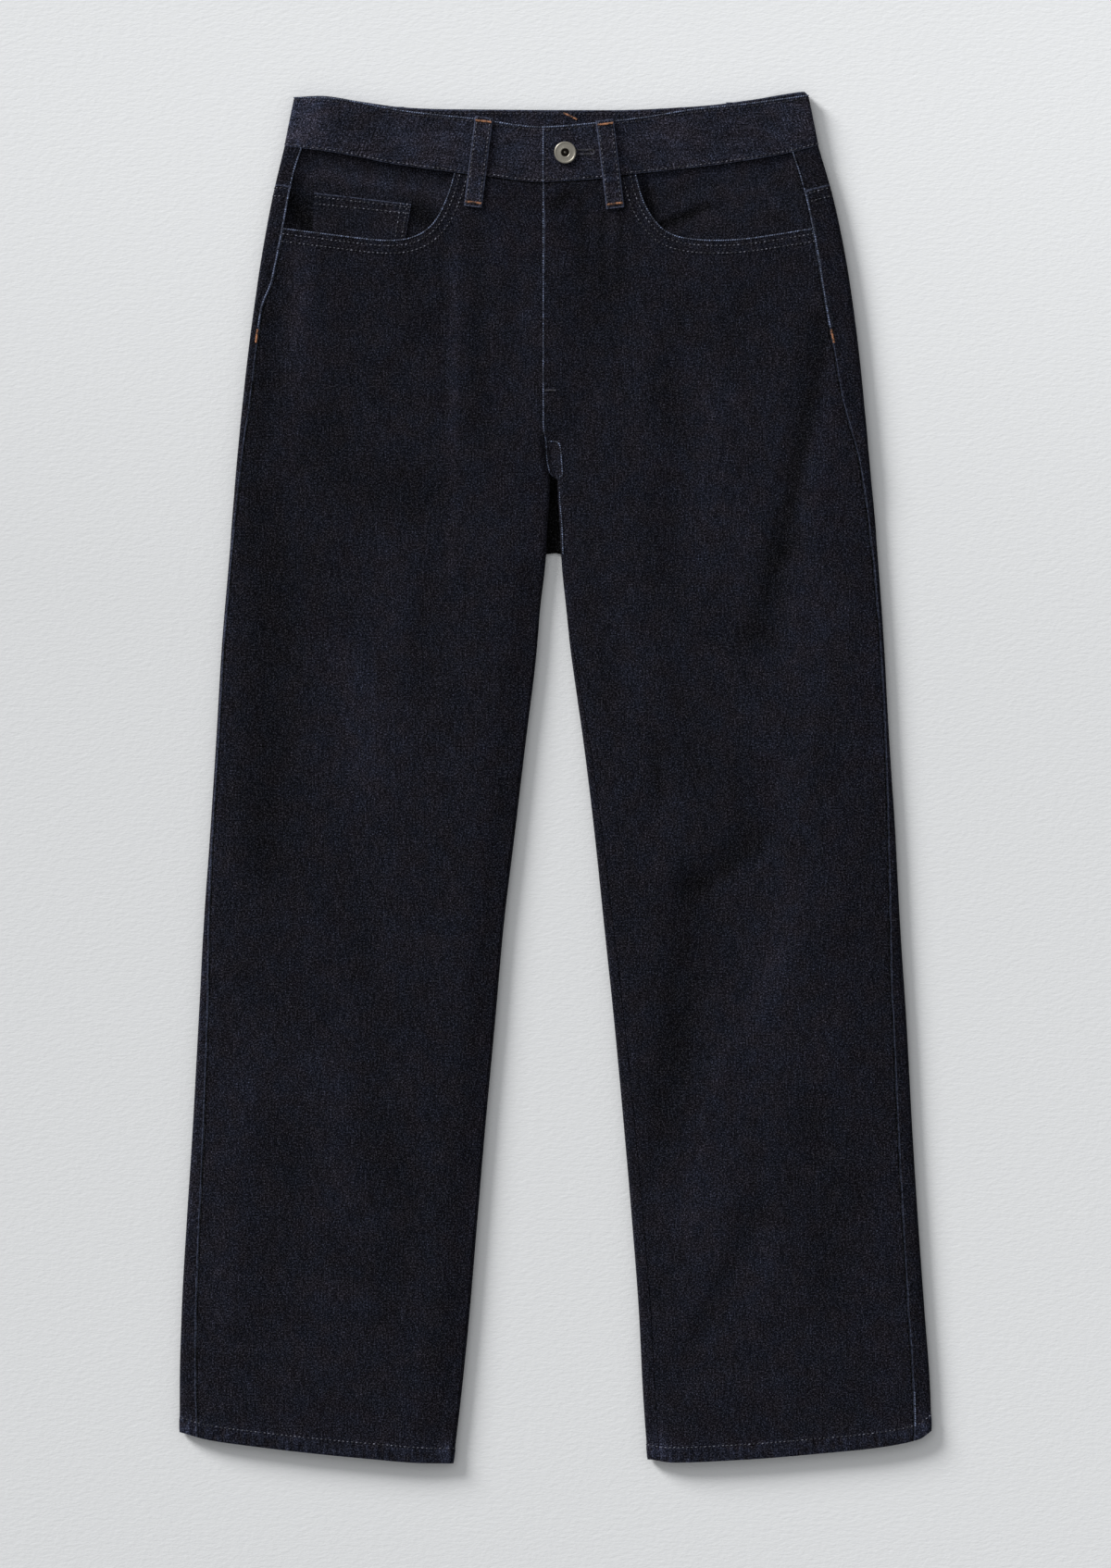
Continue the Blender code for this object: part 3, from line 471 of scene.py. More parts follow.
BAND_TOP_BACK = (
    # x, y of the top edge of the back waistband
    (-191.8, 499.8),
    (-173.4, 500.8),
    (-142.1, 496.4),
    (-111.5, 492.3),
    (-80.9, 491.0),
    (41.5, 490.3),
    (102.7, 493.0),
    (143.5, 497.8),
    (174.1, 502.9),
    (182.5, 503.9),
    (185.6, 501.3),
)

SCOOP_RIGHT = (
    # x, y along the pocket mouth, from the waist seam out
    (-74.4, 443.9),
    (-78.9, 427.7),
    (-88.4, 407.3),
    (-103.4, 396.4),
    (-123.8, 394.1),
    (-155.0, 397.8),
    (-176.1, 400.5),
)

SCOOP_LEFT = (
    # x, y along the pocket mouth, from the waist seam out
    (59.2, 442.8),
    (64.3, 423.0),
    (73.4, 408.0),
    (84.3, 398.5),
    (105.4, 394.7),
    (135.3, 395.1),
    (164.6, 399.5),
)

COIN_POCKET = (
    # corners x, y: top outer, top inner, bottom inner, bottom outer
    (-177.2, 429.6),
    (-106.1, 421.2),
    (-111.6, 389.0),
    (-178.8, 392.0),
)

FRONT_CENTRE = (
    # y, x of the centre front seam, from the lap's edge to the crotch
    (437.0, -9.5),
    (260.0, -9.5),
    (245.5, -7.5),
    (233.9, -6.8),
    (223.7, -4.8),
)

HEM_RIGHT = (
    # x, y of the right leg's lower edge
    (-276.1, -481.0),
    (-254.3, -486.9),
    (-213.5, -492.3),
    (-172.7, -496.8),
    (-131.9, -500.5),
    (-91.1, -503.6),
    (-72.0, -503.9),
)

HEM_LEFT = (
    # x, y of the left leg's lower edge
    (66.0, -501.0),
    (82.3, -503.2),
    (133.3, -501.2),
    (194.5, -496.4),
    (235.3, -492.3),
    (265.9, -486.2),
    (276.1, -479.0),
)

FRONT_LOOPS = (
    # name, leg, middle of the top end, middle of the bottom end
    ("belt_loop_front_right", "right", (-52.5, 485.0), (-60.7, 419.1)),
    ("belt_loop_front_left", "left", (36.0, 482.8), (43.9, 418.1)),
)

BACK_LOOPS = (
    # name, x, length
    ("belt_loop_back_right", -118.0, 62.0),
    ("belt_loop_back_centre", 10.9, 60.0),
    ("belt_loop_back_left", 132.0, 62.0),
)

CREASES = (
    # first end x, y, last end x, y, half width, height (a trough is below zero)
    (-206.0, 200.0, -212.0, -70.0, 16.0, -1.3),
    (-88.0, 210.0, -96.0, 60.0, 16.0, -0.5),
    (-150.0, -60.0, -120.0, -300.0, 22.0, -0.9),
    (-196.0, -260.0, -210.0, -400.0, 24.0, -0.6),
    (-60.0, 330.0, -52.0, 250.0, 12.0, -0.8),
    (-150.0, 330.0, -165.0, 250.0, 14.0, -0.7),
    (196.0, 330.0, 166.0, 165.0, 10.0, -1.5),
    (166.0, 165.0, 158.0, 100.0, 12.0, -1.1),
    (150.0, -42.0, 100.0, -82.0, 11.0, -1.7),
    (100.0, -82.0, 92.0, -200.0, 16.0, -1.1),
    (92.0, 60.0, 110.0, -20.0, 13.0, -0.9),
    (200.0, 40.0, 214.0, -120.0, 16.0, -0.8),
    (190.0, -250.0, 200.0, -380.0, 18.0, -0.9),
    (30.0, 400.0, 36.0, 330.0, 9.0, -0.7),
    (90.0, 340.0, 70.0, 260.0, 14.0, -0.7),
)

WRINKLES = (
    # smaller soft folds of the upper layer: first end x, y, last end x, y, half width, height
    (-72.8, 388.0, -73.5, 240.0, 4.5, 0.65),
    (-83.0, 385.0, -81.6, 262.0, 4.5, -0.60),
    (-63.0, 380.0, -63.5, 300.0, 4.0, 0.35),
    (-55.0, 398.0, -55.0, 290.0, 4.5, -0.50),
    (-40.0, 390.0, -42.0, 320.0, 7.0, 0.40),
    (-97.0, 330.0, -126.0, 290.0, 14.0, -0.80),
    (-168.0, 238.0, -112.0, 208.0, 24.0, -0.55),
    (-197.0, 376.0, -211.0, 252.0, 8.0, -0.70),
    (-184.0, 376.0, -190.0, 290.0, 9.0, 0.50),
    (-151.0, 80.0, -128.0, 0.0, 18.0, 0.80),
    (-112.0, 140.0, -110.0, 20.0, 7.0, 0.40),
    (-98.0, 150.0, -97.0, 60.0, 8.0, -0.20),
    (-122.0, -60.0, -124.0, -160.0, 9.0, 0.40),
    (-196.0, -100.0, -236.0, -70.0, 14.0, 0.35),
    (-226.0, -230.0, -236.0, -285.0, 12.0, 0.60),
    (-197.0, -236.0, -198.0, -290.0, 16.0, -0.35),
    (-160.0, -225.0, -150.0, -300.0, 14.0, 0.40),
    (-197.0, -374.0, -140.0, -386.0, 12.0, 0.50),
    (-108.0, -313.0, -120.0, -384.0, 17.0, -0.45),
    (-235.0, -330.0, -250.0, -420.0, 12.0, 0.40),
    (208.0, 305.0, 184.0, 190.0, 8.0, 0.55),
    (118.0, 100.0, 154.0, 104.0, 5.5, -0.70),
    (178.0, 150.0, 172.0, 80.0, 9.0, 0.50),
    (84.0, 301.0, 84.0, 148.0, 12.0, -0.75),
    (65.0, 305.0, 64.0, 254.0, 9.0, 0.50),
    (118.0, 284.0, 116.0, 190.0, 12.0, 0.50),
    (41.0, 374.0, 44.0, 312.0, 6.0, -0.50),
    (60.0, 352.0, 74.0, 318.0, 6.0, 0.35),
    (140.0, 352.0, 128.0, 322.0, 9.0, -0.35),
    (75.0, 22.0, 76.0, -22.0, 7.0, -0.85),
    (52.0, 120.0, 60.0, 50.0, 9.0, 0.40),
    (138.0, 6.0, 134.0, -36.0, 15.0, -0.70),
    (140.0, 60.0, 150.0, 36.0, 10.0, 0.50),
    (93.0, -182.0, 72.0, -290.0, 12.0, -0.90),
    (175.0, -128.0, 118.0, -222.0, 11.0, 0.80),
    (118.0, -222.0, 98.0, -335.0, 10.0, 0.70),
    (209.0, -18.0, 208.0, -109.0, 9.0, 0.60),
    (152.0, -308.0, 107.0, -403.0, 8.5, -0.90),
    (107.0, -403.0, 96.0, -430.0, 8.0, -0.70),
    (160.0, -345.0, 152.0, -385.0, 13.0, 0.60),
    (222.0, -109.0, 224.0, -310.0, 13.0, -0.50),
    (240.0, -330.0, 246.0, -440.0, 12.0, 0.40),
    (120.0, -440.0, 170.0, -458.0, 9.0, 0.35),
)

PAINTED_LIGHT_SHADE_AND_WEAR = (
    # painted light and shade of the folds and of the legs' rolled edges, and paler worn hem corners:
    # first end x, y, last end x, y, half width, tone in doublings of the dye's brightness
    (-73.4, 416.0, -76.0, 150.0, 4.5, 0.38),
    (-22.0, 420.0, -20.0, 265.0, 9.0, 0.28),
    (-185.0, 387.0, -188.0, 263.0, 11.0, 0.32),
    (-211.0, 372.0, -226.0, 158.0, 7.0, -0.40),
    (-165.0, 222.0, -118.0, 214.0, 24.0, -0.24),
    (-110.0, 385.0, -95.0, 335.0, 12.0, -0.26),
    (-203.0, 150.0, -217.0, -150.0, 30.0, -0.32),
    (-102.7, 163.0, -142.0, 50.0, 20.0, 0.18),
    (-152.0, 5.0, -148.0, -180.0, 20.0, 0.20),
    (-225.0, -212.0, -110.0, -222.0, 26.0, 0.16),
    (-92.0, -268.0, -136.0, -388.0, 16.0, -0.16),
    (-22.0, 150.0, -88.0, -470.0, 10.0, -0.48),
    (-179.0, -374.0, -145.0, -384.0, 12.0, 0.22),
    (-242.0, 150.0, -268.0, -330.0, 4.5, 0.48),
    (20.6, 416.0, 22.0, 275.0, 6.0, -0.26),
    (17.6, 427.0, 18.6, 366.0, 2.4, -0.60),
    (35.2, 424.0, 34.0, 352.0, 2.4, -0.50),
    (48.2, 420.0, 46.5, 360.0, 2.6, -0.50),
    (26.4, 424.0, 26.0, 372.0, 2.6, 0.40),
    (41.7, 420.0, 40.5, 365.0, 2.6, 0.35),
    (-1.0, 420.0, 9.0, 428.5, 3.6, -1.10),
    (2.0, 408.0, 14.5, 423.0, 2.0, 0.70),
    (70.0, 300.0, 150.0, 170.0, 38.0, 0.14),
    (77.0, 295.0, 95.0, 240.0, 12.0, -0.26),
    (190.8, 234.0, 185.0, 158.0, 10.0, 0.22),
    (164.0, 163.0, 141.0, 99.0, 7.0, -0.45),
    (76.0, 145.0, 97.0, 110.0, 12.0, -0.26),
    (190.8, 134.0, 180.0, -5.0, 16.0, 0.28),
    (174.0, -80.0, 136.0, -232.0, 16.0, 0.28),
    (126.0, -275.0, 98.0, -394.0, 14.0, 0.28),
    (238.0, -13.0, 242.0, -248.0, 12.0, -0.26),
    (148.0, -52.0, 104.0, -80.0, 5.0, -0.60),
    (98.0, -92.0, 78.0, -240.0, 19.0, -0.40),
    (72.0, 30.0, 76.0, -8.0, 4.0, -0.40),
    (197.0, 322.0, 166.0, 165.0, 4.0, -0.55),
    (158.0, 158.0, 146.0, 118.0, 5.0, -0.35),
    (28.0, 128.0, 56.0, -130.0, 15.0, -0.24),
    (220.0, -306.0, 238.0, -453.0, 20.0, -0.16),
    # paler worn hem corners
    (-272.0, -474.0, -270.0, -484.0, 7.0, 0.80),
    (-80.0, -490.0, -81.0, -504.0, 5.0, 0.80),
    (76.0, -480.0, 79.0, -504.0, 6.0, 0.80),
    (270.0, -470.0, 272.0, -486.0, 8.0, 0.80),
)

UNDER_CREASES = (
    # soft folds of the underside, pressed up from the surface:
    # first end x, y, last end x, y, half width, height
    (-150.0, 190.0, -130.0, 20.0, 16.0, 0.9),
    (-84.0, 150.0, -108.0, 40.0, 11.0, 0.7),
    (-200.0, 60.0, -176.0, -110.0, 14.0, 0.8),
    (-230.0, -140.0, -210.0, -330.0, 16.0, 0.9),
    (-128.0, -190.0, -110.0, -380.0, 15.0, 0.8),
    (60.0, 170.0, 92.0, 30.0, 13.0, 0.9),
    (140.0, 180.0, 176.0, 40.0, 14.0, 0.8),
    (110.0, -40.0, 150.0, -110.0, 11.0, 1.0),
    (200.0, -90.0, 180.0, -300.0, 16.0, 0.8),
    (104.0, -220.0, 122.0, -420.0, 14.0, 0.8),
)

BELLY = (
    # y, right leg, left leg: how far the upper layer stands over its folded edges
    (-507.0, 2.2, 1.7),
    (-400.0, 2.8, 2.1),
    (-200.0, 3.4, 2.5),
    (0.0, 3.4, 2.5),
    (150.0, 2.6, 2.1),
    (250.0, 1.0, 0.8),
    (330.0, 0.0, 0.0),
)

LEGS = {
    # sign of x, end of the waist's tables, column of the edges' tables, reaches of the air held in a leg
    "right": {
        "side": -1.0,
        "waist_end": 0,
        "column": 1,
        "scoop": SCOOP_RIGHT,
        "hem": HEM_RIGHT,
        "belly": (24.0, 19.0),
    },
    "left": {
        "side": 1.0,
        "waist_end": -1,
        "column": 2,
        "scoop": SCOOP_LEFT,
        "hem": HEM_LEFT,
        "belly": (18.0, 17.0),
    },
}


# Curves and blends


def smooth(table, column, at):
    """Value of a table's column at a place in its first column, by a cubic with no overshoot."""
    rows = np.array(sorted(table), dtype=float)
    knots = rows[:, 0]
    values = rows[:, column]
    width = np.diff(knots)
    slope = np.diff(values) / width
    left, right = slope[:-1], slope[1:]
    harmonic = 2.0 * left * right / np.where(left * right > 0.0, left + right, 1.0)
    inner = np.where(left * right > 0.0, harmonic, 0.0)
    tangent = np.concatenate([slope[:1], inner, slope[-1:]])
    at = np.clip(np.asarray(at, dtype=float), knots[0], knots[-1])
    index = np.clip(np.searchsorted(knots, at) - 1, 0, len(width) - 1)
    part = (at - knots[index]) / width[index]
    start, end = values[index], values[index + 1]
    rise, fall = tangent[index] * width[index], tangent[index + 1] * width[index]
    bend = 3.0 * (end - start) - 2.0 * rise - fall
    twist = 2.0 * (start - end) + rise + fall
    return start + part * (rise + part * (bend + part * twist))


def step(value):
    """Smooth step from 0 to 1."""
    value = np.clip(value, 0.0, 1.0)
    return value * value * (3.0 - 2.0 * value)


def between(value, start, end):
    """Smooth step that is 0 at start and 1 at end, whichever is the greater."""
    return step((value - start) / (end - start))


def mix(first, last, part):
    return first + (last - first) * part


def stack(x, y, z):
    """Points as an array, from coordinates of any like shapes."""
    return np.stack(np.broadcast_arrays(x, y, z), axis=-1).astype(float)


def along(points, parts):
    """Points at given parts of the length of a chain of points, and the length run at each of its own."""
    points = np.asarray(points, dtype=float)
    length = np.concatenate([[0.0], np.cumsum(np.linalg.norm(np.diff(points, axis=0), axis=1))])
    at = np.asarray(parts) * length[-1]
    return np.stack([np.interp(at, length, points[:, axis]) for axis in (0, 1)], axis=1), length


def rounded(points):
    """Chain with its corners cut, with its ends kept."""
    points = np.asarray(points, dtype=float)
    for _ in range(CORNER_CUTS):
        cut = [points[0]]
        for first, last in zip(points[:-1], points[1:]):
            cut.append(mix(first, last, 0.25))
            cut.append(mix(first, last, 0.75))
        cut.append(points[-1])
        points = np.array(cut)
    return points


# Heights of the laid layers


def folds(table, x, y):
    """Height that a table's soft folds add at a place."""
    total = np.zeros(np.broadcast(x, y).shape)
    for x1, y1, x2, y2, half_width, height in table:
        run = np.array([x2 - x1, y2 - y1])
        part = np.clip(((x - x1) * run[0] + (y - y1) * run[1]) / run.dot(run), 0.0, 1.0)
        far = np.hypot(x - x1 - part * run[0], y - y1 - part * run[1])
        total = total + height * np.exp(-((far / half_width) ** 2))
    return total


def ripple(x, y):
    """Slight unevenness of laid cloth, the same on each run."""
    wide = np.sin(x / 31.0 + 1.3 * np.sin(y / 57.0)) * np.sin(y / 43.0 + 0.9 * np.sin(x / 38.0) + 0.7)
    near = np.sin(x / 11.0 + 1.7 * np.sin(y / 23.0) + 2.0) * np.sin(y / 17.0 + 1.1 * np.sin(x / 13.0))
    return WIDE_RIPPLE * wide + NEAR_RIPPLE * near


def relief(x, y):
    """Height of all soft folds of the upper layer."""
    return folds(CREASES, x, y) + folds(WRINKLES, x, y) + ripple(x, y)


def lift(y):
    """Height of the underside's outer face: over the seat it lies on the patch pockets."""
    return SEAT_LIFT * between(y, SEAT_LIFT_FROM, SEAT_LIFT_TO)


def outer_edge(leg, y):
    return smooth(OUTER_EDGE, leg["column"], y)


def inner_edge(leg, y):
    return smooth(INNER_EDGE, leg["column"], y)


def inseam(leg, y):
    return smooth(INNER_EDGE, leg["column"] + 2, y)


def side_seam_turn(leg, y):
    """Place of the side seam, measured over the outer fold from its outermost line."""
    inset = smooth(SIDE_SEAM, leg["column"], y)
    on_fold = FOLD * np.arccos(np.clip(1.0 - inset / FOLD, -1.0, 1.0))
    return np.where(inset < FOLD, on_fold, QUARTER_FOLD + inset - FOLD)


def side_seam_x(leg, y):
    return leg["side"] * (outer_edge(leg, y) - smooth(SIDE_SEAM, leg["column"], y))


def band_rise(x):
    """Rise of the left waistband over the right one's end."""
    return BAND_RISE * (1.0 - between(x, LAP_X + BAND_FLAT, LAP_X + BAND_FLAT + BAND_SLOPE))


def lap(leg, x, y):
    """Rise of the left front over the right front at the fly, with the waistband's at the waist."""
    if leg["side"] < 0.0:
        return 0.0 * x
    across = 1.0 - between(x, LAP_X + FLY_FLAT, LAP_X + FLY_FLAT + FLY_SLOPE)
    fly = FLY_RISE * across * between(y, FLY_END[1], FLY_END[0])
    from_waist = np.clip(smooth(WAIST_FRONT, 1, x) - y, 0.0, None)
    near_waist = np.exp(-((from_waist / BAND_RISE_REACH) ** 2))
    return mix(fly, band_rise(x), near_waist)


def groove(leg, x, y):
    """Depth of the dip beside the centre front seam, just above the crotch."""
    away = leg["side"] * (x - smooth(FRONT_CENTRE, 1, y))
    flat = GROOVE_FLAT if leg["side"] > 0.0 else 0.0
    return GROOVE_DEPTH * (1.0 - between(away, flat, flat + GROOVE_SLOPE)) * between(y, *GROOVE_TOP)


def belly(leg, y, from_outer, from_inner):
    """Height of the air held in a leg, which falls to nothing at its folded edges."""
    outer_reach, inner_reach = leg["belly"]
    outer_part = 1.0 - np.exp(-np.clip(from_outer - FOLD, 0.0, None) / outer_reach)
    inner_part = 1.0 - np.exp(-np.clip(from_inner - FOLD, 0.0, None) / inner_reach)
    return smooth(BELLY, leg["column"], y) * outer_part * inner_part


def crease_fade(from_outer, from_inner):
    """How fully a leg's folds stand at distances from its folded edges, where they die away."""
    return step((from_outer - FOLD) / CREASE_FADE) * step((from_inner - FOLD) / CREASE_FADE)


def edge_distances(leg, x, y):
    """Distances of a place from a leg's outer and inner folds."""
    return outer_edge(leg, y) - leg["side"] * x, leg["side"] * x - inner_edge(leg, y)


def top_height(leg, x, y):
    """Height of a leg's upper outer face."""
    from_edges = edge_distances(leg, x, y)
    flat = lift(y) + 2.0 * FOLD + lap(leg, x, y) - groove(leg, x, y)
    return flat + belly(leg, y, *from_edges) + crease_fade(*from_edges) * relief(x, y)


def under_height(leg, x, y):
    """Height of a leg's underside, flat where it rests but for its soft folds."""
    return lift(y) + crease_fade(*edge_distances(leg, x, y)) * folds(UNDER_CREASES, x, y)


# Surfaces, each as points for its own two coordinates


def over_fold(leg, turn, y, edge, inward):
    """Point by its distance over a folded edge, up and away from the edge being positive."""
    angle = np.clip(turn, -QUARTER_FOLD, QUARTER_FOLD) / FOLD
    inset = FOLD * (1.0 - np.cos(angle)) + np.clip(np.abs(turn) - QUARTER_FOLD, 0.0, None)
    x = leg["side"] * (edge(leg, y) + inward * inset)
    on_fold = lift(y) + FOLD + FOLD * np.sin(angle)
    return stack(x, y, np.where(turn > QUARTER_FOLD, top_height(leg, x, y), on_fold))


def over_outer_fold(leg, turn, y):
    return over_fold(leg, turn, y, outer_edge, -1.0)


def over_inner_fold(leg, turn, y):
    return over_fold(leg, turn, y, inner_edge, 1.0)


def on_top(leg, x, y):
    return stack(x, y, top_height(leg, x, y))


def on_underside(leg, x, y):
    return stack(x, y, under_height(leg, x, y))


def faced(surface, first, y, turn_sign):
    """Points of a surface, and its outward unit normals from its own slopes."""
    across = surface(first + SLOPE_REACH, y) - surface(first - SLOPE_REACH, y)
    up = surface(first, y + SLOPE_REACH) - surface(first, y - SLOPE_REACH)
    cross = np.cross(across, up) * turn_sign
    return surface(first, y), cross / np.linalg.norm(cross, axis=-1, keepdims=True)


def side_by_side(columns):
    """One grid of points and one of normals from columns that are each a pair of them."""
    points, outward = zip(*columns)
    return np.stack(points, axis=1), np.stack(outward, axis=1)


# Cloth shells


def arc_lengths(points, axis):
    """Length run along a grid of points, from its first row or column."""
    steps = np.linalg.norm(np.diff(points, axis=axis), axis=-1)
    start = np.zeros_like(np.take(steps, [0], axis=axis))
    return np.concatenate([start, np.cumsum(steps, axis=axis)], axis=axis)


def grid_faces(rows, columns):
    """Faces of a closed wall whose outer and inner grids follow each other in the list of points."""
    under = rows * columns
    number = np.arange(under).reshape(rows, columns)
    a, b = number[:-1, :-1].ravel(), number[:-1, 1:].ravel()
    c, d = number[1:, 1:].ravel(), number[1:, :-1].ravel()
    faces = [np.stack([a, b, c, d], axis=1), np.stack([d, c, b, a], axis=1) + under]
    ring = np.concatenate([number[0, :-1], number[:-1, -1], number[-1, :0:-1], number[:0:-1, 0]])
    after = np.roll(ring, -1)
    faces.append(np.stack([after, ring, ring + under, after + under], axis=1))
    return np.concatenate(faces)


def turned_out(vertices, faces):
    """Quads turned to point out of the closed mesh."""
    a, b, c, d = (vertices[faces[:, corner]] for corner in range(4))
    volume = (a * (np.cross(b, c) + np.cross(c, d))).sum()
    return faces if volume > 0.0 else faces[:, ::-1]


def new_mesh(name, vertices, faces, look):
    """Mesh of points given in millimetres, with its material."""
    mesh = bpy.data.meshes.new(name)
    mesh.from_pydata((np.asarray(vertices) * MILLIMETRE).tolist(), [], faces)
    mesh.materials.append(look)
    return mesh


def link(name, data):
    """Object of a mesh, light or camera, put in the scene."""
    made = bpy.data.objects.new(name, data)
    bpy.context.collection.objects.link(made)
    return made


def keep_value(mesh, name, values, inside=0.0):
    """Number kept at each point of a shell for its material, with what the inner face adds to it."""
    both = np.concatenate([values.ravel(), (values + inside).ravel()])
    mesh.attributes.new(name, "FLOAT", "POINT").data.foreach_set("value", both.astype(np.float32))


def smoothed(mesh, sharp_from):
    """Shades a mesh smooth, but for edges that turn by more than an angle in degrees."""
    mesh.shade_smooth()
    mesh.set_sharp_from_angle(angle=math.radians(sharp_from))


def cloth(name, outer, outward, thickness, look, worn=RUBBED, hem_last=False, folded=None, inside=0.0):
    """Closed shell between an outer grid and one inside it, with what its material reads.

    worn says how far back the wear of the first row, last row, first column and last column stays
    from the edge. folded is the painted light and shade that the dye takes, mostly from the heights of
    the soft folds, and inside is painted shade added to it on the inner face.
    """
    rows, columns = outer.shape[:2]
    vertices = np.concatenate([outer.reshape(-1, 3), (outer - outward * thickness).reshape(-1, 3)])
    faces = turned_out(vertices, grid_faces(rows, columns))
    mesh = new_mesh(name, vertices, faces.tolist(), finish(look))
    down, right = arc_lengths(outer, 0), arc_lengths(outer, 1)
    sides = [down, down[-1:] - down, right, right[:, -1:] - right]
    far = np.full((rows, columns), FAR)
    edge = np.minimum.reduce([far] + [side + offset for side, offset in zip(sides, worn)])
    hem = np.minimum(sides[1], FAR) if hem_last else far
    folded = np.zeros((rows, columns)) if folded is None else folded
    keep_value(mesh, "edge", edge * MILLIMETRE)
    keep_value(mesh, "hem", hem * MILLIMETRE)
    keep_value(mesh, "folded", folded, inside)
    middle = columns // 2
    across = right - right[:, middle : middle + 1]
    way = np.sign(outer[:, -1:, 0] - outer[:, :1, 0])
    across = across * np.where(way == 0.0, 1.0, way) + outer[:, middle : middle + 1, 0]
    place = np.stack([across, outer[..., 1]], axis=-1).reshape(-1, 2) * MILLIMETRE
    place = np.concatenate([place, place])
    corners = np.empty(len(mesh.loops), dtype=np.int32)
    mesh.loops.foreach_get("vertex_index", corners)
    mesh.uv_layers.new(name="cloth").data.foreach_set("uv", place[corners].astype(np.float32).ravel())
    smoothed(mesh, CLOTH_SHARP)
    return link(name, mesh)


def tapered(count, near):
    """Parts from 0 to 1 that start with the given near ones and go on evenly."""
    return np.concatenate([near, np.linspace(near[-1], 1.0, count + 1)[1:]])


# Back panels and yokes


def back_centre_x(y):
    return BACK_CENTRE_SHIFT * between(y, *BACK_CENTRE_FROM)


def underside_end(leg, y):
    """Distance from the centre line at which the underside ends and its inner turn or flange starts."""
    return inner_edge(leg, y) + FOLD + np.clip(leg["side"] * back_centre_x(y), 0.0, None)


def back_grid(leg, y_rows):
    """Outer points and normals of a back piece, a row for each array of y, a column for each place."""
    side = leg["side"]

    def outer_turned(part, shift, at):
        seam = side_seam_turn(leg, at) - LEG_SEAM_GAP / 2
        return over_outer_fold(leg, mix(seam, -QUARTER_FOLD, part) + shift, at)

    def inner_turned(part, shift, at):
        seam = inseam(leg, at) - LEG_SEAM_GAP / 2
        round_fold = over_inner_fold(leg, mix(-QUARTER_FOLD, seam, part) + shift, at)
        start = side * underside_end(leg, at)
        end = back_centre_x(at) + side * CENTRE_GAP / 2
        flat = on_underside(leg, mix(start, end, part) - side * shift, at)
        return mix(round_fold, flat, between(at, SADDLE_Y[1], SADDLE_Y[0])[..., None])

    columns = []
    for part in OUTER_PARTS:
        y = y_rows[:, len(columns)]
        columns.append(faced(partial(outer_turned, part), np.zeros_like(y), y, -side))
    for part in UNDER_PARTS:
        y = y_rows[:, len(columns)]
        x = side * mix(outer_edge(leg, y) - FOLD, underside_end(leg, y), part)
        columns.append(faced(partial(on_underside, leg), x, y, -1.0))
    for part in INNER_PARTS:
        y = y_rows[:, len(columns)]
        columns.append(faced(partial(inner_turned, part), np.zeros_like(y), y, side))
    return side_by_side(columns)


def back_columns(leg, y):
    """x of each column of a back piece at one height, and whether it lies on the upper layer."""
    row = back_grid(leg, np.full((1, BACK_COUNT), y))[0][0]
    return row[:, 0], row[:, 2] > lift(y) + FOLD


def back_row(leg, y):
    """Points and normals round a back piece, at a height for each of its columns."""
    points, outward = back_grid(leg, y[None, :])
    return points[0], outward[0]


def yoke_seam(x):
    """y of the seam between yoke and back panel."""
    return mix(YOKE_CENTRE_Y, YOKE_SIDE_Y, np.clip(np.abs(x) / YOKE_SIDE_X, 0.0, 1.0))


def hem_y(leg, x):
    return smooth(leg["hem"], 1, x)


def hem_rows(leg, start, x):
    """Rows down to the hem, closer where its layers start, and how far each is from the edge."""
    end = hem_y(leg, x)
    rows = [mix(start, end + HEM_PARTS[0], part) for part in np.linspace(0.0, 1.0, 6)[1:-1]]
    away = [FAR_FROM_HEM] * len(rows) + list(HEM_PARTS)
    return np.array(rows + [end + far for far in HEM_PARTS]), np.array(away)


def leg_rows(leg, count, extra, last_row_x):
    """Full rows of a leg panel and those down to its hem, and how far each is from the hem's edge."""
    full = sorted(set(np.linspace(ROW_TOP, ROW_LOW, LEG_ROWS)) | set(extra), reverse=True)
    low, away = hem_rows(leg, ROW_LOW, last_row_x)
    rows = np.concatenate([np.array([np.full(count, y) for y in full]), low])
    return rows, np.concatenate([np.full(len(full), FAR_FROM_HEM), away])


def hem_cloth(away):
    """Cloth's thickness at distances from the hem, with the turned-up layers at the edge."""
    return np.where(away < HEM_DEPTH, HEM_CLOTH, DENIM)[:, None, None]


def hem_rise(away):
    """How far the hem's layers stand over the cloth above, drawn down at the row of stitches."""
    stitched = HEM_PULL * np.exp(-(((away - HEM_STITCH) / HEM_PULL_REACH) ** 2))
    rolled = HEM_ROLL * np.exp(-((away / HEM_ROLL_REACH) ** 2))
    return HEM_STEP * between(away, *HEM_RISE) - stitched - rolled


def seam_rise(away, seam):
    """How far the seam allowances under a panel raise it beside its seam."""
    reach, height = SEAM_RISES[seam]
    return height * (1.0 - between(away, reach, reach + SEAM_RISE_SLOPE))


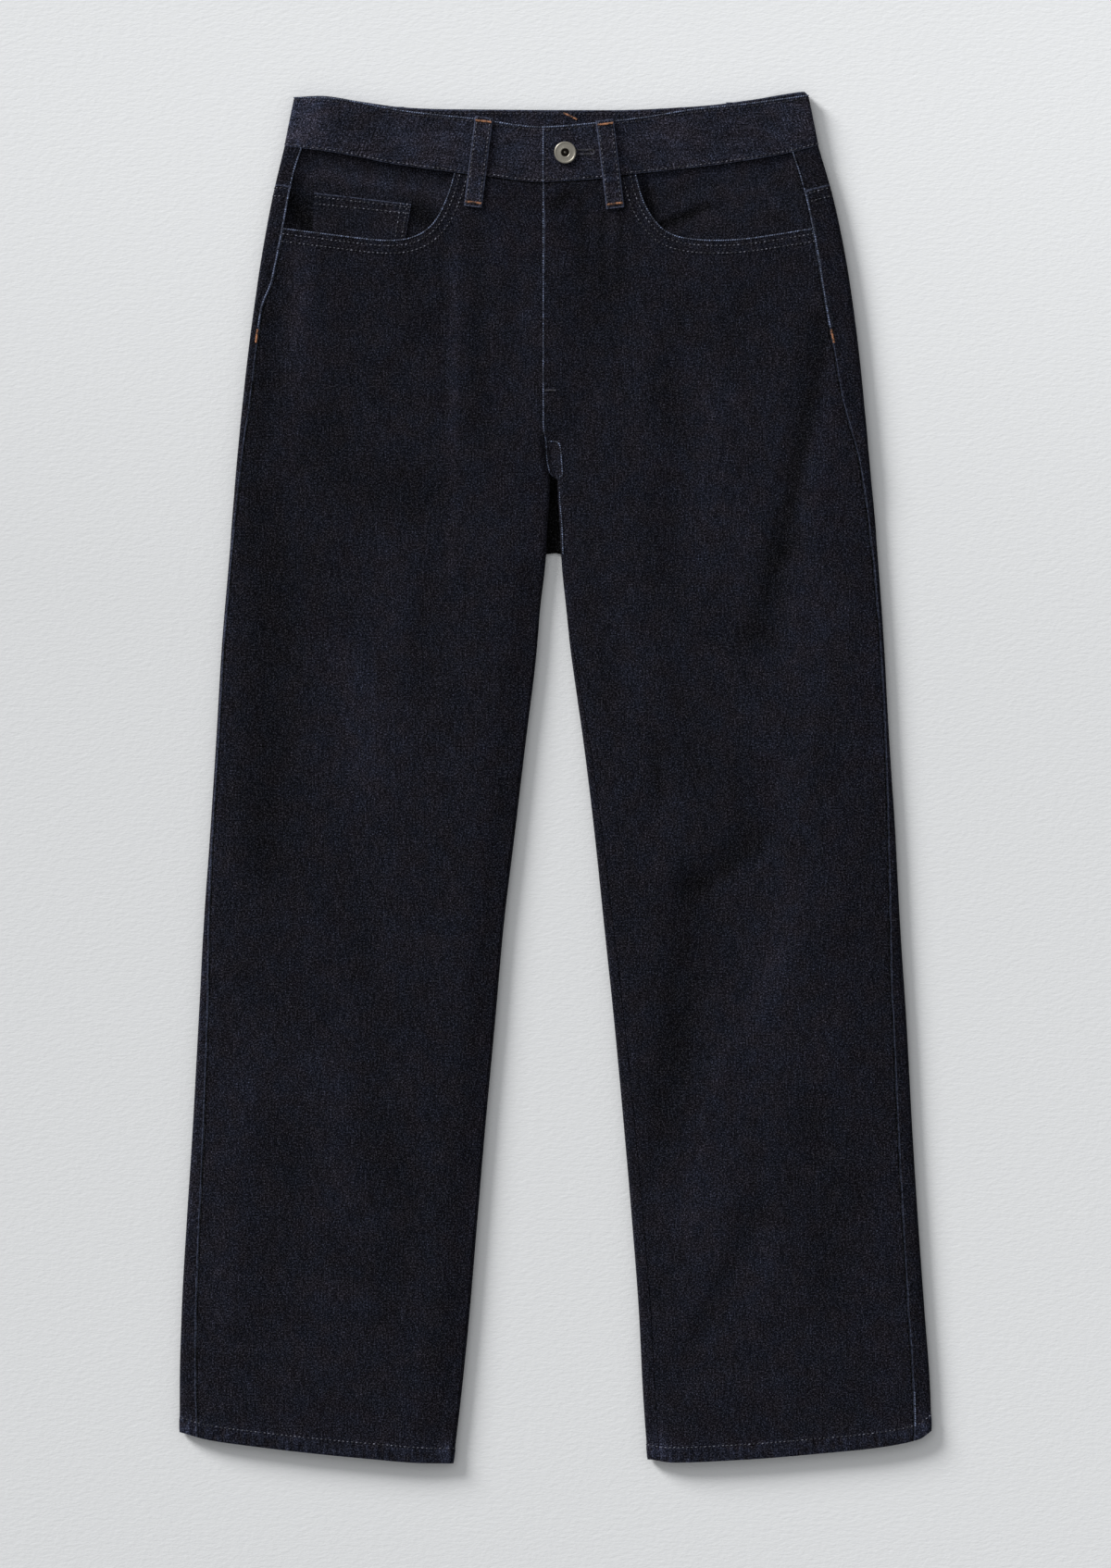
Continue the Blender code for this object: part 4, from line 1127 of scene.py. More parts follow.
def make_back(name, leg):
    """Back panel, from the yoke seam to the hem, with its strip over the outer fold."""
    seam = yoke_seam(back_columns(leg, YOKE_SIDE_Y)[0]) - SEAM_GAP / 2
    parts = tapered(14, np.array([0.0, 0.02, 0.05, 0.09]))
    start = [mix(seam, ROW_TOP, part) for part in parts[:-1]]
    low, away = leg_rows(leg, BACK_COUNT, SADDLE_Y, back_columns(leg, ROW_LOW)[0])
    away = np.concatenate([np.full(len(start), FAR_FROM_HEM), away])
    outer, outward = back_grid(leg, np.concatenate([np.array(start), low]))
    x, y = outer[..., 0], outer[..., 1]
    on_upper = outer[..., 2] > lift(y) + FOLD
    from_seam = arc_lengths(outer, 1)
    rise = seam_rise(from_seam, "back_side") + seam_rise(from_seam[:, -1:] - from_seam, "back_inner")
    rise = rise * between(y, SADDLE_Y[0], SADDLE_Y[0] + 20.0).clip(0.35) + hem_rise(away)[:, None]
    # painted light and shade: the upper layer's fold heights and painted tones, the underside's creases, and
    # painted shadow down the crotch's inner column
    folded = (RELIEF_PAINTED_SHADE * relief(x, y) + folds(PAINTED_LIGHT_SHADE_AND_WEAR, x, y)) * on_upper
    folded = folded - RELIEF_PAINTED_SHADE * folds(UNDER_CREASES, x, y) * ~on_upper
    folded[:, -1] = np.where(y[:, -1] > SADDLE_Y[1] - 1.0, PAINTED_INSIDE_SHADE, folded[:, -1])
    outer = outer + outward * (rise * on_upper)[..., None]
    worn = (0.5, NO_WEAR, np.where(y[:, :1] > HIP_TACK_Y, -0.5, 0.45), NO_WEAR)
    return cloth(name, outer, outward, hem_cloth(away), "denim", worn, True, folded, PAINTED_INSIDE_SHADE)


def make_yoke(name, leg):
    """Back yoke, from the waist to the yoke seam."""
    x_low = back_columns(leg, YOKE_SIDE_Y)[0]
    x_high, on_upper = back_columns(leg, WAIST_FRONT[0][1])
    waist = np.where(on_upper, smooth(WAIST_FRONT, 1, x_high), smooth(WAIST_BACK, 1, x_high))
    high = waist - CENTRE_GAP
    low = yoke_seam(x_low) - SEAM_GAP / 2 + CENTRE_GAP
    y_rows = np.array([mix(high, low, part) for part in np.linspace(0.0, 1.0, YOKE_ROWS)])
    outer, outward = back_grid(leg, y_rows)
    return cloth(name, outer, outward, DENIM, "denim", (NO_WEAR, 0.2, 0.0, NO_WEAR))


# Front panels


def centre_end_x(leg, y):
    """x of a front's free or seamed edge at the centre, above the crotch."""
    seam = smooth(FRONT_CENTRE, 1, y)
    if leg["side"] > 0.0:
        return seam + SEAM_GAP / 2
    return seam - SEAM_GAP / 2 + (UNDERLAP + SEAM_GAP / 2) * between(y, UNDERLAP_END[1], UNDERLAP_END[0])


def front_inner_side(leg, away, y):
    """Point of a front by its distance from the edge at the centre seam or the inseam."""
    x = centre_end_x(leg, y) + leg["side"] * away
    level = on_top(leg, x, y)
    folded = over_inner_fold(leg, inseam(leg, y) + LEG_SEAM_GAP / 2 + away, y)
    return mix(folded, level, between(y, CROTCH_Y - CROTCH_TURN, CROTCH_Y)[..., None])


def front_outer_side(leg, away, y):
    """Point of a front by its distance from the side seam."""
    return over_outer_fold(leg, side_seam_turn(leg, y) + LEG_SEAM_GAP / 2 + away, y)


def front_rows(leg, y_rows):
    """Outer points and normals of a front panel below its pocket mouth."""
    outer_side = partial(front_outer_side, leg)
    inner_side = partial(front_inner_side, leg)
    columns = []
    for away in NEAR_SEAM:
        y = y_rows[:, len(columns)]
        columns.append(faced(outer_side, np.full_like(y, away), y, -leg["side"]))
    for part in np.linspace(0.0, 1.0, FRONT_MIDDLE + 1)[1:-1]:
        y = y_rows[:, len(columns)]
        x = mix(outer_side(NEAR_SEAM[-1], y)[:, 0], inner_side(NEAR_SEAM[-1], y)[:, 0], part)
        columns.append(faced(partial(on_top, leg), x, y, 1.0))
    for away in NEAR_SEAM[::-1]:
        y = y_rows[:, len(columns)]
        columns.append(faced(inner_side, np.full_like(y, away), y, leg["side"]))
    return side_by_side(columns)


def scoop_line(leg):
    """Pocket mouth, from the waist seam to the side seam."""
    end = (side_seam_x(leg, SCOOP_END_Y), SCOOP_END_Y)
    return rounded([*leg["scoop"], end])


def front_top_line(leg):
    """Upper edge of a front, from the side seam along the pocket mouth and the waist seam."""
    scoop = scoop_line(leg)[::-1]
    x = np.linspace(leg["scoop"][0][0], centre_end_x(leg, np.array(WAIST_FRONT[5][1])), 40)[1:]
    waist = np.stack([x, smooth(WAIST_FRONT, 1, x) - WAIST_GAP], axis=1)
    return np.concatenate([scoop, waist]), len(scoop) - 1


def front_top_block(leg):
    """Outer points and normals of a front between its upper edge and its first full row."""
    first_row = front_rows(leg, np.full((1, FRONT_COUNT), ROW_TOP))[0][0]
    chain, corner = front_top_line(leg)
    spread = np.abs(first_row[:, 0] - first_row[0, 0]) / abs(first_row[-1, 0] - first_row[0, 0])
    length = along(chain, [0.0])[1]
    corner_part = length[corner] / length[-1]
    spread[int(np.argmin(np.abs(spread - corner_part)))] = corner_part
    edge = along(chain, spread)[0]
    away_high = edge[:, 0] - side_seam_x(leg, edge[:, 1])
    away_high[0] = leg["side"] * -LEG_SEAM_GAP / 2
    away_low = first_row[:, 0] - side_seam_x(leg, first_row[:, 1])
    part = tapered(17, np.array([0.0, 0.015, 0.035, 0.06, 0.09, 0.13]))[:-1, None]
    y = mix(edge[:, 1], first_row[:, 1], part)
    x = side_seam_x(leg, y) + mix(away_high, away_low, part)
    return faced(partial(on_top, leg), x, y, 1.0)


def make_front(name, leg):
    """Front panel, from the waist seam and pocket mouth to the hem."""
    high, high_outward = front_top_block(leg)
    last_row = front_rows(leg, np.full((1, FRONT_COUNT), ROW_LOW))[0][0]
    y_rows, away = leg_rows(leg, FRONT_COUNT, CROTCH_ROWS, last_row[:, 0])
    away = np.concatenate([np.full(len(high), FAR_FROM_HEM), away])
    outer, outward = front_rows(leg, y_rows)
    outer = np.concatenate([high, outer])
    outward = np.concatenate([high_outward, outward])
    x, y = outer[..., 0], outer[..., 1]
    from_side = arc_lengths(outer, 1)
    mouth = np.abs(x[0]) > abs(leg["scoop"][0][0]) - 0.5
    rise = hem_rise(away)[:, None] + np.where(mouth, seam_rise(arc_lengths(outer, 0), "mouth"), 0.0)
    rise = rise + seam_rise(from_side, "front_side")
    rise = rise + seam_rise(from_side[:, -1:] - from_side, "front_inner")
    # painted light and shade from the fold heights and painted tones, with painted seam shade along the side
    # seam and the waist seam
    folded = RELIEF_PAINTED_SHADE * relief(x, y) + folds(PAINTED_LIGHT_SHADE_AND_WEAR, x, y)
    folded[:, :2] += SEAM_SHADE
    folded[0] += np.where(mouth, 0.0, SEAM_SHADE)
    lapped = (y[:, -1:] > SADDLE_Y[0]) & (leg["side"] > 0.0)
    worn = (np.where(mouth, 0.0, NO_WEAR), NO_WEAR, 0.75, np.where(lapped, 0.3, NO_WEAR))
    outer = outer + outward * rise[..., None]
    return cloth(name, outer, outward, hem_cloth(away), "denim", worn, True, folded, PAINTED_INSIDE_SHADE)


# Front pockets


def facing_height(leg, x, y):
    """Height of a pocket facing's upper face, drawn up to the side seam and the waistband."""
    from_side = np.abs(side_seam_x(leg, y) - x)
    from_waist = np.clip(smooth(WAIST_FRONT, 1, x) - y, 0.0, None)
    side_rise = FACING_SIDE_RISE * np.exp(-from_side / FACING_SIDE_REACH)
    waist_rise = FACING_WAIST_RISE * np.exp(-from_waist / FACING_WAIST_REACH)
    flat = FACING_FLOOR + side_rise + np.clip(waist_rise - side_rise, 0.0, None)
    return flat + folds(FACING_FOLDS, x, y)


def level_cloth(name, grid, high, thickness, look, outward=1.0, worn=RUBBED, folded=None):
    """Cloth shell over a grid of x, y points at a height, facing up or down."""
    outer = stack(grid[..., 0], grid[..., 1], high)
    out = np.tile((0.0, 0.0, outward), outer.shape[:2] + (1,))
    return cloth(name, outer, out, thickness, look, worn, folded=folded)


def make_facing(name, leg):
    """Pocket facing, from the waist seam to a little under the pocket mouth."""
    side = leg["side"]
    scoop = scoop_line(leg)
    lower = beside(scoop, -side * FACING_UNDER)
    lower[0] = (leg["scoop"][0][0] - side * FACING_UNDER, lower[0, 1])
    lower[:, 1] = np.minimum(lower[:, 1], smooth(WAIST_FRONT, 1, lower[:, 0]) - 6.0)
    parts = np.linspace(0.0, 1.0, 60)
    lower = along(lower, parts)[0]
    upper_x = mix(lower[0, 0], side_seam_x(leg, WAIST_FRONT[0][1] - 3.0), parts)
    upper = np.stack([upper_x, smooth(WAIST_FRONT, 1, upper_x) - WAIST_GAP], axis=1)
    grid = mix(upper, lower, np.linspace(0.0, 1.0, 32)[:, None, None])
    grid[:, -1, 0] = side_seam_x(leg, grid[:, -1, 1]) - side * SEAM_GAP
    x, y = grid[..., 0], grid[..., 1]
    # painted shade in the facing's fold troughs and painted light on its ridges, with FACING_SHADES' painted
    # shade and light
    folded = folds(FACING_FOLDS, x, y) + folds(FACING_SHADES, x, y)
    high = facing_height(leg, x, y)
    return level_cloth(name, grid, high, DENIM, "denim_facing", worn=PLAIN, folded=folded)


def coin_grid(parts_down, parts_across):
    """x, y points over the coin pocket."""
    top_outer, top_inner, bottom_inner, bottom_outer = np.array(COIN_POCKET)
    down = np.asarray(parts_down)[:, None, None]
    across = np.asarray(parts_across)[None, :, None]
    return mix(mix(top_outer, bottom_outer, down), mix(top_inner, bottom_inner, down), across)


def coin_seat(x, y):
    return facing_height(LEGS["right"], x, y) + SEAM_GAP


def make_coin_pocket(name):
    near = np.array([0.0, 0.02, 0.05, 0.1])
    grid = coin_grid(tapered(12, near), 1.0 - tapered(22, near)[::-1])
    high = coin_seat(grid[..., 0], grid[..., 1]) + DENIM
    return level_cloth(name, grid, high, DENIM, "denim_facing", worn=(0.3, NO_WEAR, NO_WEAR, 0.7))


# Back pockets, which lie under the back panels


def back_pocket_grid(leg, parts_down, parts_across):
    """x, y points over a patch pocket, whose lower edge comes to a blunt point."""
    size = BACK_POCKET
    down = np.asarray(parts_down)[:, None]
    inset = size["taper"] * down
    middle = (size["inner"] + size["outer"]) / 2
    x = mix(size["inner"] + inset, size["outer"] - inset, np.asarray(parts_across)[None, :])
    toward_point = 1.0 - np.abs(x - middle) / (middle - size["inner"] - inset)
    y = mix(size["top"], mix(size["side"], size["point"], toward_point), down)
    return np.stack([leg["side"] * x + back_centre_x(size["top"]), y], axis=-1)


def make_back_pocket(name, leg):
    grid = back_pocket_grid(leg, np.linspace(0.0, 1.0, 34), np.linspace(0.0, 1.0, 33))
    return level_cloth(name, grid, 0.0, DENIM, "denim", outward=-1.0)


# Waistband


def band_points(waist, top, place, v):
    """x and y on the waistband: place is x at the seam, v is 0 at the seam and 1 at the top."""
    part = (place - waist[0][0]) / (waist[-1][0] - waist[0][0])
    x_top = mix(top[0][0], top[-1][0], part)
    return mix(place, x_top, v), mix(smooth(waist, 1, place), smooth(top, 1, x_top), v)


def band_height(x, lapped):
    return SEAT_LIFT + 2.0 * BAND_FOLD + (band_rise(x) if lapped else 0.0)


def band_surface(leg, turn, v):
    """Outer point by the distance over the waistband's end fold, which is positive on the front."""
    side = leg["side"]
    angle = np.clip(turn, -QUARTER_BAND, QUARTER_BAND) / BAND_FOLD
    inset = BAND_FOLD * (1.0 - np.cos(angle)) + np.clip(np.abs(turn) - QUARTER_BAND, 0.0, None)
    place = side * (abs(WAIST_FRONT[leg["waist_end"]][0]) - inset)
    front = band_points(WAIST_FRONT, BAND_TOP_FRONT, place, v)
    back = band_points(WAIST_BACK, BAND_TOP_BACK, place, v)
    x, y = (np.where(turn > 0.0, ahead, behind) for ahead, behind in zip(front, back))
    on_fold = SEAT_LIFT + BAND_FOLD * (1.0 + np.sin(angle))
    return stack(x, y, np.where(turn > QUARTER_BAND, band_height(x, side > 0.0), on_fold))


def band_grid(v):
    """Outer points and normals of the waistband: a row for each v, a column for each place round it."""
    right_reach, left_reach = (abs(WAIST_FRONT[leg["waist_end"]][0]) - BAND_FOLD for leg in LEGS.values())
    right_end = QUARTER_BAND + right_reach + LAP_X + BAND_UNDERLAP
    left_end = QUARTER_BAND + left_reach - LAP_X
    fold = np.linspace(QUARTER_BAND, -QUARTER_BAND, 12)
    right_turns = [*np.linspace(right_end, QUARTER_BAND, 80), *fold[1:]]
    left_turns = [*fold[:0:-1], *np.linspace(QUARTER_BAND, left_end, 80)]
    left_turns += [left_end - near for near in BAND_NEAR_END]
    right_side, left_side = (partial(band_surface, leg) for leg in LEGS.values())
    columns = [faced(right_side, np.full_like(v, turn), v, 1.0) for turn in right_turns]
    for place in np.linspace(-right_reach, left_reach, 90)[1:-1]:
        x, y = band_points(WAIST_BACK, BAND_TOP_BACK, np.full_like(v, place), v)
        columns.append((stack(x, y, SEAT_LIFT), np.tile((0.0, 0.0, -1.0), (len(v), 1))))
    columns += [faced(left_side, np.full_like(v, turn), v, -1.0) for turn in sorted(left_turns)]
    return side_by_side(columns)


def band_swell(x, v):
    """Rise of the waistband between its two rows of stitches, with slight cross ripples near them."""
    middle = np.clip(np.sin(math.pi * v), 0.0, None) ** 0.5
    near_rows = np.exp(-v * 9.0) + np.exp(-(1.0 - v) * 9.0)
    ripples = BAND_RIPPLE * np.sin(x / 1.9 + 1.5 * np.sin(x / 9.0)) * near_rows
    return BAND_SWELL * middle + ripples


def make_waistband(name):
    """Waistband, from its right end under the lap, round the back, to its lapped left end."""
    v = np.array(BAND_PARTS)
    outer, outward = band_grid(v)
    x, y = outer[..., 0], outer[..., 1]
    front = outer[..., 2] > SEAT_LIFT + BAND_FOLD
    rise = band_swell(x, v[:, None]) * front
    folded = folds(BAND_PALE_AND_DARK, x, y) * front
    outer = outer + outward * rise[..., None]
    worn = (0.8, np.where(outer[-1:, :, 0] < 0.0, -0.1, 0.1), NO_WEAR, 0.0)
    return cloth(name, outer, outward, BAND_CLOTH, "denim_band", worn, folded=folded)


# Belt loops


def loop_seat(leg, x, y):
    """Height that a front belt loop must clear."""
    panel = top_height(leg, x, np.minimum(y, smooth(WAIST_FRONT, 1, x)))
    band = band_height(x, leg["side"] > 0.0)
    over_band = between(y, smooth(WAIST_FRONT, 1, x) - 7.0, smooth(WAIST_FRONT, 1, x) - 2.0)
    return np.maximum(panel, mix(panel, band, over_band))


def front_loop_grid(leg, top, bottom, parts, places):
    """Points on a front loop's upper face, from its top end down, at places across it."""
    top, bottom, parts, places = (np.asarray(value) for value in (top, bottom, parts, places))
    ahead = (bottom - top) / np.linalg.norm(bottom - top)
    across = np.array([-ahead[1], ahead[0]]) * LOOP_WIDTH
    grid = mix(top, bottom, parts[:, None, None]) + across * places[:, None]
    x, y = grid[..., 0], grid[..., 1]
    bulge = LOOP_BULGE * np.sin(math.pi * np.minimum(1.0, parts / LOOP_BULGE_END)) ** 2
    rounding = LOOP_ROUNDING * (2.0 * np.abs(places)) ** 8
    welt = LOOP_WELT * np.exp(-(((np.abs(places) - LOOP_WELT_PLACE) / LOOP_WELT_WIDTH) ** 2))
    return stack(x, y, loop_seat(leg, x, y) + LOOP_CLEAR + bulge[:, None] + LOOP_CLOTH - rounding + welt)


def make_front_loop(name, leg, top, bottom):
    outer = front_loop_grid(leg, top, bottom, np.linspace(0.0, 1.0, 34), LOOP_PLACES)
    out = np.tile(UP, outer.shape[:2] + (1,))
    return cloth(name, outer, out, LOOP_WALL, "denim_band")


def back_loop_grid(x, reach, parts, places):
    """x, y points on a back loop."""
    top = float(smooth(BAND_TOP_BACK, 1, x))
    grid = np.meshgrid(x + LOOP_WIDTH * np.asarray(places), top - reach * np.asarray(parts))
    return np.stack(grid, axis=-1)


def make_back_loop(name, x, reach):
    grid = back_loop_grid(x, reach, np.linspace(0.0, 1.0, 20), np.linspace(-0.5, 0.5, 8))
    return level_cloth(name, grid, 0.0, DENIM, "denim_band", outward=-1.0)


# Node trees


class Wire:
    """Output of a node, which takes part in sums as a number does."""

    def __init__(self, tree, socket):
        self.tree = tree
        self.socket = socket

    def __add__(self, other):
        return maths(self.tree, "ADD", self, other)

    def __sub__(self, other):
        return maths(self.tree, "SUBTRACT", self, other)

    def __mul__(self, other):
        return maths(self.tree, "MULTIPLY", self, other)

    def __truediv__(self, other):
        return maths(self.tree, "DIVIDE", self, other)

    def feed(self, socket):
        """Joins the wire to an input."""
        self.tree.links.new(self.socket, socket)


def put(tree, kind, inputs=None, **settings):
    """Node with its settings, each input given a value or a wire."""
    node = tree.nodes.new(kind)
    for key, value in settings.items():
        setattr(node, key, value)
    for key, value in (inputs or {}).items():
        if isinstance(value, Wire):
            value.feed(node.inputs[key])
        else:
            node.inputs[key].default_value = value
    return node


def wire(tree, kind, inputs=None, output=0, **settings):
    """Wire from one output of a new node."""
    return Wire(tree, put(tree, kind, inputs, **settings).outputs[output])


def maths(tree, operation, *values):
    return wire(tree, "ShaderNodeMath", dict(enumerate(values)), operation=operation)


def ramp(value, start, end, low=0.0, high=1.0):
    """Value carried smoothly from one range to another."""
    inputs = {"Value": value, "From Min": start, "From Max": end, "To Min": low, "To Max": high}
    return wire(value.tree, "ShaderNodeMapRange", inputs, interpolation_type="SMOOTHSTEP")


def noise(place, scale, detail=2.0, roughness=0.5):
    inputs = {"Vector": place, "Scale": scale, "Detail": detail, "Roughness": roughness}
    return wire(place.tree, "ShaderNodeTexNoise", inputs, noise_dimensions="3D")


def scaled(place, scale):
    return wire(place.tree, "ShaderNodeMapping", {"Vector": place, "Scale": scale})


def coordinates(place):
    """The x, y and z of a place."""
    parts = put(place.tree, "ShaderNodeSeparateXYZ", {0: place}).outputs
    return [Wire(place.tree, socket) for socket in parts]


def waves(place, pitch):
    """Sine wave along a place, repeated at a pitch."""
    return maths(place.tree, "SINE", place * (2.0 * math.pi) / pitch)


def group(name, kind, inputs, outputs):
    """Node group of inputs, as label, kind and default, and outputs: its tree, wires by label, and ends."""
    tree = bpy.data.node_groups.new(name, kind)
    for label, socket, default in inputs:
        made = tree.interface.new_socket(name=label, in_out="INPUT", socket_type=socket)
        if default is not None:
            made.default_value = default
    for label, socket in outputs:
        tree.interface.new_socket(name=label, in_out="OUTPUT", socket_type=socket)
    given = {socket.name: Wire(tree, socket) for socket in tree.nodes.new("NodeGroupInput").outputs}
    return tree, given, tree.nodes.new("NodeGroupOutput").inputs


def placed(tree, name, **inputs):
    """Shared group placed in a material: wires from its outputs, by label."""
    node = put(tree, "ShaderNodeGroup", inputs, node_tree=bpy.data.node_groups[name])
    return {socket.name: Wire(tree, socket) for socket in node.outputs}


def twill_group():
    """Twill cloth: grain of the yarns, pale flecks of bare weft, and the height of the wales."""
    _, given, out = group(
        "Twill",
        "ShaderNodeTree",
        [("Place", VECTOR, None), ("Wale", NUMBER, 0.7)],
        [("Grain", NUMBER), ("Fleck", NUMBER), ("Height", NUMBER)],
    )
    place = scaled(given["Place"], TO_MILLIMETRES)
    x, y, _ = coordinates(place)
    wale = waves(x * -0.86 + y * 0.5 + noise(place, 0.35, 1.0) * 0.8, given["Wale"])
    yarn = noise(scaled(place, (0.9, 0.07, 1.0)), 1.0, 2.0, 0.7)
    speckle = noise(place, 0.9, 1.5, 0.8)
    grain = (speckle - 0.5) * 17.0 + (yarn - 0.5) * 4.0 + wale * 0.4
    grain.feed(out["Grain"])
    ramp(noise(place, 0.8, 0.0), 0.70, 0.80).feed(out["Fleck"])
    (wale * 0.5 + speckle * 0.9).feed(out["Height"])


def wear_group():
    """Wear of sewn cloth: its bright rubbed edge, and the light and dark ticks of puckers beside a seam."""
    _, given, out = group(
        "seam_wear",
        "ShaderNodeTree",
        [
            ("Place", VECTOR, None),
            ("Edge", NUMBER, 0.03),
            ("Hem", NUMBER, 0.03),
            ("Rim", NUMBER, 1.0),
            ("Pucker", NUMBER, 6.5),
        ],
        [("Rubbed", NUMBER), ("Ticks", NUMBER)],
    )
    place = scaled(given["Place"], TO_MILLIMETRES)
    edge = given["Edge"] * TO_MILLIMETRES[0]
    hem = given["Hem"] * TO_MILLIMETRES[0]
    reach = given["Rim"] * (noise(place, 0.06, 1.0) + 0.5)
    rubbed = ramp(edge / reach, 1.25, 0.6) * ramp(noise(place, 0.55, 2.0, 0.8), 0.36, 0.6, 0.12, 1.0)
    rubbed.feed(out["Rubbed"])
    x, y, _ = coordinates(place)
    rope = waves(x + y * 0.12 + noise(place, 0.07, 2.0) * 6.0, given["Pucker"])
    rope = rope * ramp(noise(place, 0.05, 1.0), 0.3, 0.6) * ramp(hem, 13.0, 9.0)
    crimp = (noise(place, 0.24, 1.0) - 0.5) * (ramp(edge, 9.0, 2.5) * 2.4)
    patches = (noise(place, 0.13, 1.0) - 0.37) * (ramp(hem, 15.0, 9.0) * 4.2)
    (rope * 0.5 + crimp + patches).feed(out["Ticks"])


def thread_group():
    """Ply of a sewing thread: where painted glints and painted shade fall along each stitch, and its height.
    """
    outputs = [("Shade", NUMBER), ("Height", NUMBER)]
    _, given, out = group("thread_ply", "ShaderNodeTree", [("Place", VECTOR, None)], outputs)
    ramp(noise(given["Place"], 300.0, 2.0, 0.8), 0.40, 0.66).feed(out["Shade"])
    noise(given["Place"], 900.0, 2.0).feed(out["Height"])


def new_material(name, colour, roughness, **shader):
    """Material with a shader whose steady values are set on its own sockets."""
    made = bpy.data.materials.new(name)
    made.use_nodes = True
    made.diffuse_color = (*colour, 1.0)
    principled = made.node_tree.nodes["Principled BSDF"]
    principled.inputs["Base Color"].default_value = (*colour, 1.0)
    principled.inputs["Roughness"].default_value = roughness
    for label, value in shader.items():
        principled.inputs[label.replace("_", " ")].default_value = value
    return made, made.node_tree, principled.inputs


def attribute(tree, name):
    return wire(tree, "ShaderNodeAttribute", output="Fac", attribute_name=name)


def object_place(tree):
    return wire(tree, "ShaderNodeTexCoord", output="Object")


def bump(height, distance, strength, normal=None):
    inputs = {"Height": height, "Distance": distance, "Strength": strength}
    if normal is not None:
        inputs["Normal"] = normal
    return wire(height.tree, "ShaderNodeBump", inputs)


def blend(part, first, second):
    """Colour mixed from two, each a colour or a wire."""
    first, second = (colour if isinstance(colour, Wire) else (*colour, 1.0) for colour in (first, second))
    return wire(part.tree, "ShaderNodeMix", {0: part, 6: first, 7: second}, 2, data_type="RGBA")


def times(colour, red, green=None, blue=None):
    """Colour with its channels multiplied."""
    return (colour[0] * red, colour[1] * (green or red), colour[2] * (blue or red))


def denim_material(name, colour, wear_colour, depth, contrast, streaks, run):
    """Dark washed twill, with painted light on its folds' crests and painted shade in their troughs, and
    paler rubbed edges.
    """
    made, tree, shader = new_material(
        name, colour, 0.85, Specular_IOR_Level=0.03, Sheen_Weight=0.012, Sheen_Roughness=0.5
    )
    place = wire(tree, "ShaderNodeUVMap", uv_map="cloth")
    twill = placed(tree, "Twill", Place=place)
    wear = placed(tree, "seam_wear", Place=place, Edge=attribute(tree, "edge"), Hem=attribute(tree, "hem"))
    wide = noise(scaled(place, (1.0, 0.6, 1.0)), 34.0, 3.0, 0.6) - 0.5
    near = noise(scaled(place, run), 190.0, 3.0, 0.75) - 0.5
    # folded brings the painted light and shade; wide and near are random tone of the dye
    shade = attribute(tree, "folded") * depth + wide * 1.1 + near * streaks
    shade = shade + twill["Grain"] * contrast + wear["Ticks"] * 0.6
    bluer = ramp(noise(place, 60.0, 2.0) + wear["Ticks"] * 0.22, 0.3, 0.7)
    hue = blend(bluer, times(colour, 1.07, 0.98, 0.97), times(colour, 0.86, 1.0, 1.16))
    bright = {0: hue, "Scale": maths(tree, "POWER", 2.0, shade * 1.1)}
    dyed = wire(tree, "ShaderNodeVectorMath", bright, operation="SCALE")
    bare = twill["Fleck"] * 0.5 + ramp(twill["Grain"], 0.3, 2.2) * 0.3
    blend(wear["Rubbed"] * 0.8, blend(bare, dyed, WEFT), wear_colour).feed(shader["Base Color"])
    soft = bump(wear["Ticks"], 0.0007, 0.7)
    bump(twill["Height"], 0.00018, 0.8, soft).feed(shader["Normal"])
    return made


def thread_material(name, colour):
    """Dull twisted thread, with painted glints and painted shade along its plies."""
    made, tree, shader = new_material(name, colour, 0.5, Specular_IOR_Level=0.35, Sheen_Weight=0.1)
    ply = placed(tree, "thread_ply", Place=object_place(tree))
    blend(ply["Shade"], times(colour, THREAD_PAINTED_SHADE), times(colour, THREAD_PAINTED_GLINT)).feed(shader["Base Color"])
    bump(ply["Height"], 0.0001, 0.7).feed(shader["Normal"])
    return made


def pewter_material(name, colour):
    """Matt turned pewter, with fine rings round its centre and dark patina in its hollow."""
    made, tree, shader = new_material(name, colour, 0.42, Metallic=0.85)
    place = object_place(tree)
    centre = [-value * MILLIMETRE for value in BUTTON_AT] + [0.0]
    x, y, _ = coordinates(wire(tree, "ShaderNodeVectorMath", {0: place, 1: centre}, operation="ADD"))
    radius = maths(tree, "SQRT", x * x + y * y) * TO_MILLIMETRES[0]
    mottle = noise(place, 420.0, 3.0)
    light = blend(ramp(mottle, 0.3, 0.7), colour, times(colour, 1.12))
    patina = ramp(radius, 3.3, 2.7) - ramp(radius, 1.15, 0.6) * 0.3
    blend(patina, light, PATINA).feed(shader["Base Color"])
    rings = maths(tree, "SINE", radius * 11.0)
    bump(rings * 0.3 + mottle, 0.0001, 0.5).feed(shader["Normal"])
    return made


def finish(name):
    """Material for a setting's colour, made with its groups when first asked for."""
    label = name + "_look"
    if label in bpy.data.materials:
        return bpy.data.materials[label]
    for shared, make in (("Twill", twill_group), ("seam_wear", wear_group), ("thread_ply", thread_group)):
        if shared not in bpy.data.node_groups:
            make()
    colours = bpy.context.scene.jeans_colours
    colour = tuple(getattr(colours, name))
    if name in DENIM_DEPTH:
        return denim_material(label, colour, tuple(colours.worn_edge), *DENIM_DEPTH[name])
    if name == "pewter":
        return pewter_material(label, colour)
    return thread_material(label, colour)


# Sewing


